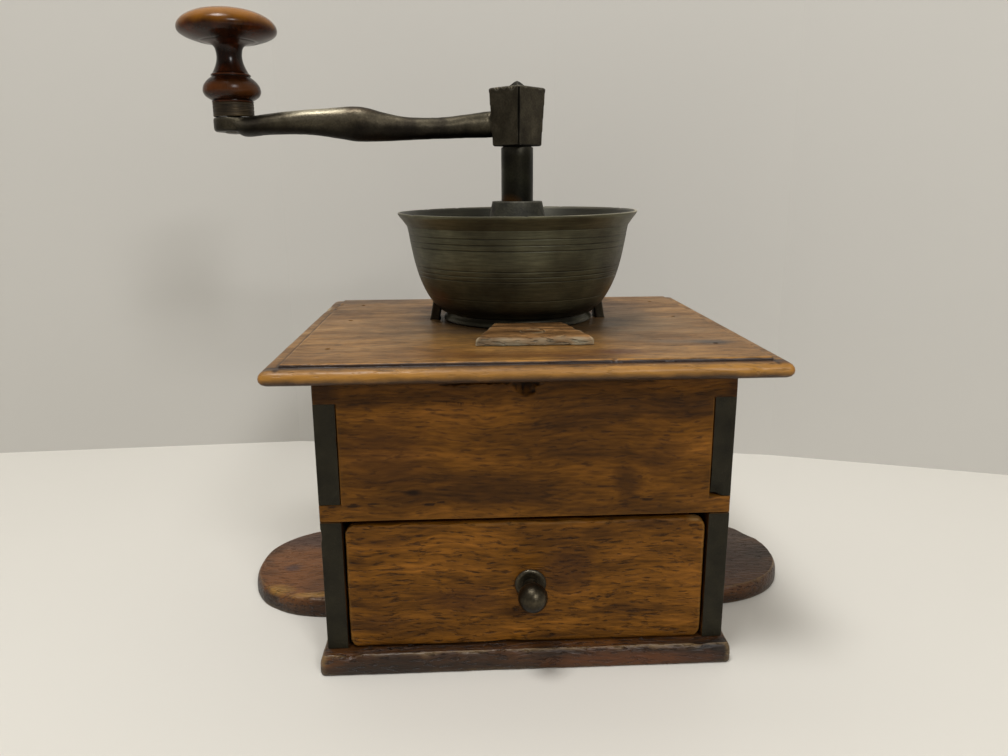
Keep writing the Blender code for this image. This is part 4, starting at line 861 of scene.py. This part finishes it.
block_walnut = wood(
    "worn walnut, block", "#a1774a", "#7f5c36", "#4a3219", "#a4977a", figure=(30, 200),
    blotch=0.5, flecks=0.8, rough=0.55, relief=0.9, rubs=0.5, wear=(0.03, 0.6), seed=41.0, spots=(
        ((2.4, -74.6, 135), (60, 2.4, 6), "#989079", 0.9),
    ),
)
block_left, block_right, block_front, block_back, taper = -22.06, 26.86, -73.4, -36.6, 0.229
points, faces = slab(
    lines(block_left, block_right, 0.7, 1.9), lines(block_front, block_back, 0.7, 1.9),
    lambda s, t, d: (s, t, 137.8 - d), 3.7, (
        lambda t: block_left + (t - block_front) * taper + uneven(0.2, 4, 1, t),
        lambda t: block_right - (t - block_front) * taper - uneven(0.2, 5, 2, t),
        lambda s: block_front + uneven(0.45, 5, 5, s),
        lambda s: block_back - uneven(0.1, 9, 6, s),
    ), 1.9, lambda s, t: uneven(0.18, 2.4, 3, s / 3, t) + uneven(0.12, 9, 8, s, t),
)
block = piece("block", (points, faces))
cut(block, rod(*peg_place, 130, 140, 5.3, 48))
dress(block, "case", "top_wood", block_walnut, "bowl_block")
peg = [(4.6, 130.3), (5.0, 130.8), (5.0, 137.0), (4.6, 137.45), (1.0, 137.6)]
dress(piece("peg", turned(peg, 48, (*peg_place, 0))), "case", "case_wood", block_walnut,
      "block_peg")

# Hopper bowl
# Cast in bronze and turned in a lathe, which left three bands of scored lines. Its rim is rolled
# out and nicked, it stands on a foot ring, and age has turned it dark green and brown.

# Bronze: olive grey-green skin with brown oil stains low down, rubbed brighter at the rim. Painted shade
# darkens its inside wall, its low body and its foot, and a faint painted light lifts the flare under the
# rim.
bronze = metal(
    "bronze, dark patina", "#5c5a45", "#484634", "#302d1f", "#3f2c12", rusty=0.5,
    bright="#b0aa92", rough=(0.52, 0.4), scale=45.0, shine=1.3, wear=(0.5, 1.4),
    drawn=(0.1, 0.1, 1.3), metallic=0.7, inward_shade=0.82, spots=(
        ((0, 0, 186.3), (400, 400, 1.2), "#c2bba3", 0.9),
        # Faint painted light on the flare under the rim.
        ((0, 0, 182.4), (400, 400, 3.2), "#6b6850", 0.12),
        ((-42, -26, 146), (11, 14, 6), "#54300c", 0.8), ((44, -24, 148), (7, 14, 5), "#5c4210", 0.8),
        # Painted shade on the low body, and painted shadow on the foot ring under the bowl.
        ((0, -10, 141), (80, 80, 5), "#14100a", 0.75), ((0, 0, 134), (60, 60, 5), "#050403", 0.9),
    ),
)
foot = [(33.0, 134.15), (35.6, 134.15), (36.3, 134.5), (36.2, 135.3), (35.4, 136.2), (34.7, 137.0),
        (34.7, 137.8), (35.4, 138.3), (37.2, 138.6), (37.9, 139.1)]
body = eased([(37.9, 139.1), (38.6, 140.2), (41.6, 142.4), (45.9, 149.4), (49.5, 158.8),
              (51.8, 170.2), (53.0, 178.0), (53.4, 179.4), (54.0, 180.4), (55.6, 182.8),
              (57.1, 184.8), (57.5, 185.8)], 3)
scored = np.array([175.3, 172.6, 170.1, 161.1, 158.8, 156.7, 147.7, 179.3])
heights = np.unique(np.round(np.concatenate([
    np.linspace(139.2, 185.6, 60),
    (scored[:, None] + np.array([-0.75, -0.45, -0.3, -0.15, 0, 0.15, 0.3, 0.45, 0.75])).ravel(),
]), 2))
radii = np.interp(heights, body[:, 1], body[:, 0])
score = np.exp(-((heights[:, None] - scored) / 0.18) ** 2).sum(1)
outside = np.stack([radii - 0.15 * score, heights], -1)
lip = [(57.4, 186.1), (56.9, 186.3), (56.0, 186.25), (55.2, 185.6)]
inner_heights = np.linspace(184.6, 142.2, 50)
inside = np.stack([np.interp(inner_heights, body[:, 1], body[:, 0]) - 2.4, inner_heights], -1)
floor = [(36.0, 140.7), (32.0, 140.4), (23.9, 140.4), (23.5, 140.0), (23.5, 138.0), (33.0, 138.0)]


def cast(r, h, a):
    """Casting a little out of round, its rim nicked and sunk a millimetre at the left front."""
    around = np.stack([60 * np.cos(a) + 0 * h, 60 * np.sin(a) + 0 * h, h + 0 * a], -1)
    high = np.clip((h - 184.5) / 1.5, 0, 1)
    nick = np.clip(noise(around, 2.6, 4) - 0.35, 0, 1) * high
    body_share = np.clip((h - 141) / 20, 0, 1)
    sunk = (1 - np.cos(a - math.radians(50))) * np.clip((h - 176) / 9, 0, 1)
    r = r - 0.25 * body_share * (1 + noise(around, 40, 1)) - 0.06 * noise(around, 7, 2) - 0.5 * nick
    return r, h - 0.7 * nick - 0.1 * high * (1 + noise(around, 30, 3)) - 0.6 * sunk


profile = np.vstack([foot, outside, lip, inside, floor])
dress(piece("bowl", turned(profile, 288, loop=True, shape=cast)), "case", "bowl_bronze", bronze,
      "hopper_bowl", crease=50)
recoat(bronze, "left_bridge_lug", "right_bridge_lug")

# Bridge, boss, rivets and straps
# A flat bar riveted across the bowl, forged in one with the cone that guides the shaft. Two
# straps brazed under the bowl pass through the top board and carry the lower bar.


def fused(name, voxel, rounds, *solids):
    """Solids melted into one: remeshed on a fine lattice, then smoothed, as forging leaves them."""
    made = piece(name, *solids)
    worked(made, "REMESH", mode="VOXEL", voxel_size=voxel * MM)
    worked(made, "SMOOTH", factor=0.5, iterations=rounds)
    return made


def reshaped(made, change):
    """Moves a piece's points, in millimetres, by a function of all of them."""
    points = change(read(made.data.vertices, "co", 3) / MM)
    made.data.vertices.foreach_set("co", (points * MM).ravel())


def bar(low, high, radius):
    """Straight bar along X with round arrises: rounded rectangles stacked along it."""
    (ax, ay, az), (bx, by, bz) = low, high
    ends = [(0.0, radius), (0.3 * radius, 0.3 * radius), (radius, 0.0)]
    rings = []
    for x, inset in [(ax + a, b) for a, b in ends] + [(bx - a, b) for a, b in ends[::-1]]:
        ring = rounded_rectangle(ay + inset, by - inset, az + inset, bz - inset, radius, 10, 5)
        rings.append(np.column_stack([np.full(len(ring), x), ring]))
    return skin(np.array(rings))


cone = eased([(7.0, 170.6), (14.2, 170.6), (15.0, 171.2), (15.0, 174.6), (14.8, 175.8),
              (11.9, 190.5), (11.7, 191.0), (10.9, 191.1), (7.0, 191.1)], 1)
boss = fused("bridge", 0.5, 4, bar((-47.4, -8, 170.15), (47.4, 8, 175.1), 0.7), turned(cone))
reshaped(boss, lambda points: np.minimum(points, (99, 99, 190.1)))
rivet_x, strap_x = 45.28, 40.6
cut(boss, rod(0, 0, 160, 200, 8.0, 96), *(rod(x, 0, 160, 200, 2.3) for x in (-rivet_x, rivet_x)))
# The bridge's iron is dull and rougher, with a grey-green bloom.
bridge_iron = metal("cast iron, dull", "#3c3a2d", "#302e22", "#1e1c13", "#2a2115", rusty=0.3,
                    rough=(0.7, 0.58), metallic=0.35, scale=160.0, relief=0.5, seed=1.0)
dress(boss, "case", "forged_iron", bridge_iron, "upper_bridge")
for name, x in (("left", -rivet_x), ("right", rivet_x)):
    rivet = eased([(1.6, 166.9), (2.0, 167.3), (2.0, 175.4), (3.5, 175.42), (3.5, 175.7),
                   (2.6, 176.4), (1.2, 176.75), (0.3, 176.8)], 1)
    dress(piece(f"rivet_{name}", turned(rivet, 40, (x, 0, 0))), "case", "forged_iron", iron,
          f"{name}_bridge_rivet")
    ring = rounded_rectangle(-2.35, 2.35, -4.5, 4.5, 1.0, 10, 5)
    middle = math.copysign(strap_x, x)
    rows = []
    for share in np.linspace(0, 1, 40):
        plan = ring + np.array([middle, 0])
        under = np.interp(np.hypot(*plan.T), body[:, 0], body[:, 1]) - 0.35
        rise = 82.0 + (under - 82.0) * share
        plan[:, 0] -= math.copysign(0.17, x) * np.clip(rise - 134, 0, 9)
        rows.append(np.column_stack([plan, rise]))
    dress(piece(f"strap_{name}", skin(np.array(rows))), "case", "forged_iron", iron,
          f"{name}_strap")
recoat(iron, "strap_pin_1", "strap_pin_2", "lower_bridge", "adjusting_screw", "burr_pin")

# Burrs and step
# A ring with spiral teeth inside, flanged over the top board's hole, and a toothed cone pinned to
# the shaft. A cup of steel under the shaft's point rides on the thumbscrew.

# Hardened steel: grey, dulled and stained brown by coffee.
steel = metal("burr steel, coffee stained", "#6b655b", "#504a40", "#332d25", "#3b2a18",
              rusty=0.6, rough=(0.5, 0.32), scale=140.0, relief=0.2)


def teeth(r, h, a, depth, low, high, count=20, twist=math.radians(24)):
    """Saw teeth: (turns of angle and height) modulo one tooth gives a slope and a steep drop."""
    share = (h - low) / (high - low)
    phase = ((a - twist * share) * count / math.tau) % 1
    return r + depth * np.where(phase < 0.75, phase / 0.75, (1 - phase) / 0.25)


ring_low, throat, cone_low, cone_high, tooth = 106.0, 127.0, 107.0, 131.0, 1.2
ring_profile = np.array([(24.5, ring_low), (24.5, 134.1), (32.2, 134.1), (32.2, 137.6), (22.2, 137.7),
                         *zip(np.linspace(22.0, 15.5, 8), np.linspace(137.3, throat, 8)),
                         *zip(np.linspace(15.5, 18.4, 16), np.linspace(throat, ring_low, 16))])
dress(piece("ring", turned(ring_profile, 240, loop=True, shape=lambda r, h, a: (
    np.where((r < 18.5) & (h < throat + 0.1), teeth(r, h, a, tooth, ring_low, throat), r), h + 0 * a))),
    "case", "burr_steel", steel, "burr_ring", crease=30)
cone_profile = np.array([
    (5.8, cone_low), *zip(np.linspace(17.6, 8.6, 24), np.linspace(cone_low, cone_high, 24)),
    (5.8, cone_high),
])
dress(piece("cone", turned(cone_profile, 240, loop=True, shape=lambda r, h, a: (
    np.where(r > 6, teeth(r, h, a, -tooth, cone_low, cone_high), r), h + 0 * a))),
    "crank", "burr_steel", steel, "burr_cone", crease=30)
recoat(steel, "step_bearing")

# Shaft and crank
# A round iron shaft with a square tapered tang, and a crank forged in one: a square socket set
# cornerwise on the tang, an S-shaped arm that swells in its middle, and a flat eye.


def square(side, height, count=14):
    """Square set cornerwise about the shaft, with the same count of points on each side."""
    half = side / math.sqrt(2)
    corners = np.array([(half, 0), (0, half), (-half, 0), (0, -half), (half, 0)])
    at = np.linspace(0, 4, 4 * count, endpoint=False)
    plan = np.stack([np.interp(at, range(5), corners[:, axis]) for axis in (0, 1)], -1)
    return np.column_stack([plan, np.full(len(plan), height)])


shaft_profile = [(0.4, 102.4), (5.4, 105.4), (5.5, 131.3), (7.6, 131.4),
                 *((7.6, z) for z in np.linspace(136, 214.4, 20)), (7.4, 214.9), (6.6, 215.0)]
tang = [square(9.6, 208), square(9.6, 215.3), square(6.6, 241.0), square(6.2, 241.9),
        square(2.2, 244.0), square(0.5, 244.6)]
shaft = piece("spindle", turned(shaft_profile))
tool = piece("tool", skin(np.array(tang)))
worked(shaft, "BOOLEAN", object=tool, operation="UNION", solver="EXACT")
bpy.data.objects.remove(tool)
# The shaft's iron is smoother than the crank's, nearly black with oil, and rusty at its foot.
shaft_iron = metal(
    "turned iron, oiled", "#28271b", "#1c1b12", "#11100a", "#241a10", rusty=0.3, metallic=0.85,
    rough=(0.48, 0.34), scale=70.0, relief=0.15, seed=2.0,
    spots=(((-5, -6, 189.5), (6, 6, 4.0), "#4d3212", 0.65),),
)
dress(shaft, "crank", "forged_iron", shaft_iron, "shaft")

grip_x = -130.8
stations = eased([
    (-3, 231.6, 219.7, 7.0, 3.0), (-13, 231.6, 219.6, 7.0, 3.6), (-18, 230.9, 219.4, 7.4, 3.2),
    (-24, 229.9, 219.3, 7.7, 2.2), (-34, 228.7, 218.9, 7.7, 0.9), (-43, 228.3, 218.6, 7.8, 0.2),
    (-53, 228.8, 218.2, 8.4, 0), (-62, 230.6, 217.9, 9.4, 0), (-70, 232.9, 217.6, 10.4, 0),
    (-75, 233.4, 217.6, 10.7, 0), (-81, 233.2, 218.7, 10.3, 0), (-86, 232.8, 219.5, 9.9, 0),
    (-91, 232.4, 220.3, 9.6, 0), (-98, 232.0, 221.0, 9.6, 0), (-106, 231.4, 221.2, 10.6, 0),
    (-115, 230.2, 220.9, 13.2, 0), (-121, 229.4, 220.3, 16.4, 0), (-125, 229.0, 219.9, 18.4, 0),
    (-127.5, 228.8, 220.3, 18.8, 0),
    (-129.5, 228.6, 222.0, 18.6, 0), (-132, 228.4, 222.2, 17.0, 0),
])
turn = np.arange(48) * math.tau / 48
cos, sin = np.cos(turn), np.sin(turn)
x, high, low, wide, aside = (stations[:, column][:, None] for column in range(5))
arm = np.stack([x + 0 * cos, aside + wide / 2 * cos,
                (high + low) / 2 + (high - low) / 2 * sin], -1)
hub = [square(15.6, 215.35), square(16.4, 215.9), square(17.6, 228.6), square(18.8, 240.6),
       square(18.9, 241.0), square(18.2, 241.5), square(9.4, 242.2)]
eye = [(3.0, 222.1), (8.4, 222.1), (9.1, 222.7), (9.3, 223.6), (9.3, 227.2), (9.0, 228.1),
       (8.4, 228.3), (3.0, 228.3)]
crank = fused("crank_forging", 0.4, 3, skin(np.array(hub)), skin(arm),
              turned(eye, 72, (grip_x, 0, 0)))


def hammered(points):
    """Arm's points pushed from its middle line by hammer marks, and the socket's arris chipped."""
    depth = (0.13 * noise(points, 6.5, 1) + 0.05 * noise(points, 2.2, 2))[:, None]
    middle = np.column_stack([points[:, 0], *(
        np.interp(-points[:, 0], -stations[:, 0], line)
        for line in (stations[:, 4], (stations[:, 1] + stations[:, 2]) / 2))])
    on_arm = ((points[:, 0] < -14) & (points[:, 0] > -119))[:, None]
    way = points - middle
    points = points + np.where(on_arm, depth * way / np.linalg.norm(way, axis=1)[:, None], 0)
    return dinted(points, ((-9.5, -3.5, 241.8), 1.8, (0.3, 0.5, -1.6)),
                  ((-6.4, -6.6, 241.9), 1.6, (0.3, 0.8, -2.0)),
                  ((-3.0, -10.0, 241.6), 2.0, (0.3, 1.1, -2.4)),
                  ((3.0, -9.8, 241.9), 1.3, (0, 0.8, -1.2)),
                  ((10.4, -2.4, 242), 1.8, (-0.4, 0.4, -0.7)))


reshaped(crank, hammered)
seam = [square(1.6, 215.6, 2) + np.array([0, -11.9, 0]), square(1.6, 240.8, 2) + np.array([0, -13.5, 0])]
cut(crank, skin(np.array([square(10.4, 213), square(7.0, 244)])), skin(np.array(seam)),
    rod(grip_x, 0, 215, 232, 3.3, 48))
cut(crank, rod(grip_x, 0, 228.3, 240, 9.7, 72))
# The crank's iron is browner where hands held it. Its spots paint a highlight along the arm's top, and
# paint shade in its belly, over the highlights on its swelling and by the socket, and in the socket's
# seam.
crank_iron = metal(
    "forged iron, handled", "#575041", "#403a2d", "#241f17", "#33261a", rusty=0.35,
    rough=(0.5, 0.36), metallic=0.85, underside_shade=0.85, spots=(
        # Painted highlight along the arm's top, then painted shade over the swelling, in the belly, by
        # the socket and in the seam.
        ((-97, -4, 232.5), (19, 7, 3.0), "#b3ab93", 0.75), ((-72, -3, 234), (13, 9, 4), "#33271b", 0.8),
        ((-66, -6, 221.5), (42, 9, 4.6), "#17130c", 0.75), ((-34, -6, 221), (26, 9, 5), "#1c1812", 0.6),
        ((-16, -4, 230), (5, 9, 5), "#2a261c", 0.8), ((0, -13, 228), (0.9, 3.5, 15), "#0b0906", 0.9),
    ),
)
dress(crank, "crank", "forged_iron", crank_iron, "crank_arm", crease=50)

# Grip
# Fruitwood turned with a flat round head, a slim neck and a bulb, over a ferrule of brass. It
# turns freely on a pin riveted over a washer sunk in its head.


def around_pin(profile, sides=96, loop=True):
    """Profile turned about the grip's pin."""
    return turned(profile, sides, (grip_x, 0, 0), loop=loop)


shares = [
    (0.42, -0.02), (0.425, -0.01), (0.40, -0.002), (0.46, 0.016), (0.54, 0.045), (0.58, 0.085),
    (0.585, 0.115), (0.565, 0.165), (0.50, 0.215), (0.42, 0.252), (0.385, 0.262), (0.385, 0.270),
    (0.40, 0.274), (0.40, 0.288), (0.375, 0.296), (0.35, 0.315), (0.29, 0.385), (0.255, 0.455),
    (0.252, 0.515), (0.28, 0.590), (0.36, 0.624), (0.52, 0.640), (0.56, 0.652), (0.60, 0.645),
    (0.84, 0.690), (0.965, 0.732),
    (1.0, 0.778), (0.97, 0.838), (0.86, 0.900), (0.64, 0.960), (0.36, 0.992),
]
turning = eased([(21.9 * r, 235.82 + 39.0 * h) for r, h in shares])
grip = np.vstack([[(3.4, 229.1), (7.4, 229.1), (7.4, 234.9), (9.0, 234.9)], turning,
                  [(6.6, 274.8), (6.5, 274.5), (6.5, 272.22), (3.4, 272.22)]])
# Fruitwood under a thick old polish: dark red-brown, golden on the head, partly where palms rubbed it and
# partly as painted light on its upward face, with painted shade on the neck under it.
grip_polish = wood(
    "polished fruitwood", "#4a200a", "#2f1406", "#180a03", "#5c2f12", grain=2, figure=(16, 110),
    flecks=0.4, rough=0.2, coat=0.1, rubs=0.3, relief=0.06, seed=9.4,
    spots=(
        # Golden head: rubbed wear and painted light on the face that looks up.
        ((grip_x, 0, 274.4), (90, 90, 8.2), "#8a560c", 0.93),
        # Painted shade on the neck under the head.
        ((grip_x, 0, 254.5), (16, 16, 6.5), "#0f0703", 0.85),
        ((grip_x - 7, -8, 241.0), (11, 12, 3.0), "#6b380f", 0.45),
        ((grip_x + 6, -8, 240.5), (11, 12, 3.5), "#5a3416", 0.6),
    ),
)
dress(piece("grip_turning", around_pin(grip, 128)), "grip", "grip_wood", grip_polish,
      "handle_grip")
brass = metal("dull brass", "#433621", "#33291a", "#20190f", "#2b1d10", rusty=0.4,
              bright="#5a4b2e", rough=(0.58, 0.45), scale=160.0, metallic=0.6,
              drawn=(0.2, 0.2, 1.5))
heights = np.unique(np.concatenate([np.linspace(229.0, 234.6, 40), [229.9, 232.0, 233.6]]))
lathe = np.exp(-((heights[:, None] - np.array([229.9, 230.5, 232.0, 233.6])) / 0.18) ** 2).sum(1)
ferrule = np.vstack([[(7.7, 228.75), (8.9, 228.75)], np.stack([9.1 - 0.14 * lathe, heights], -1),
                     [(8.9, 234.8), (7.7, 234.8)]])
dress(piece("ferrule", around_pin(ferrule)), "grip", "old_brass", brass, "handle_ferrule")
pin = [(1.0, 221.2), (3.4, 221.4), (4.5, 221.7), (4.6, 222.0), (3.0, 222.0), (3.0, 273.6),
       (4.5, 273.62), (4.4, 274.0), (3.2, 274.5), (1.4, 274.8)]
dress(piece("pin", around_pin(pin, 48, False)), "crank", "forged_iron", iron, "handle_pin")
washer = [(3.3, 272.55), (6.0, 272.55), (6.2, 272.7), (6.2, 273.1), (6.0, 273.3), (3.3, 273.3)]
dress(piece("washer", around_pin(washer, 48)), "crank", "old_brass", brass, "pin_washer")
recoat(brass, "knob_washer")
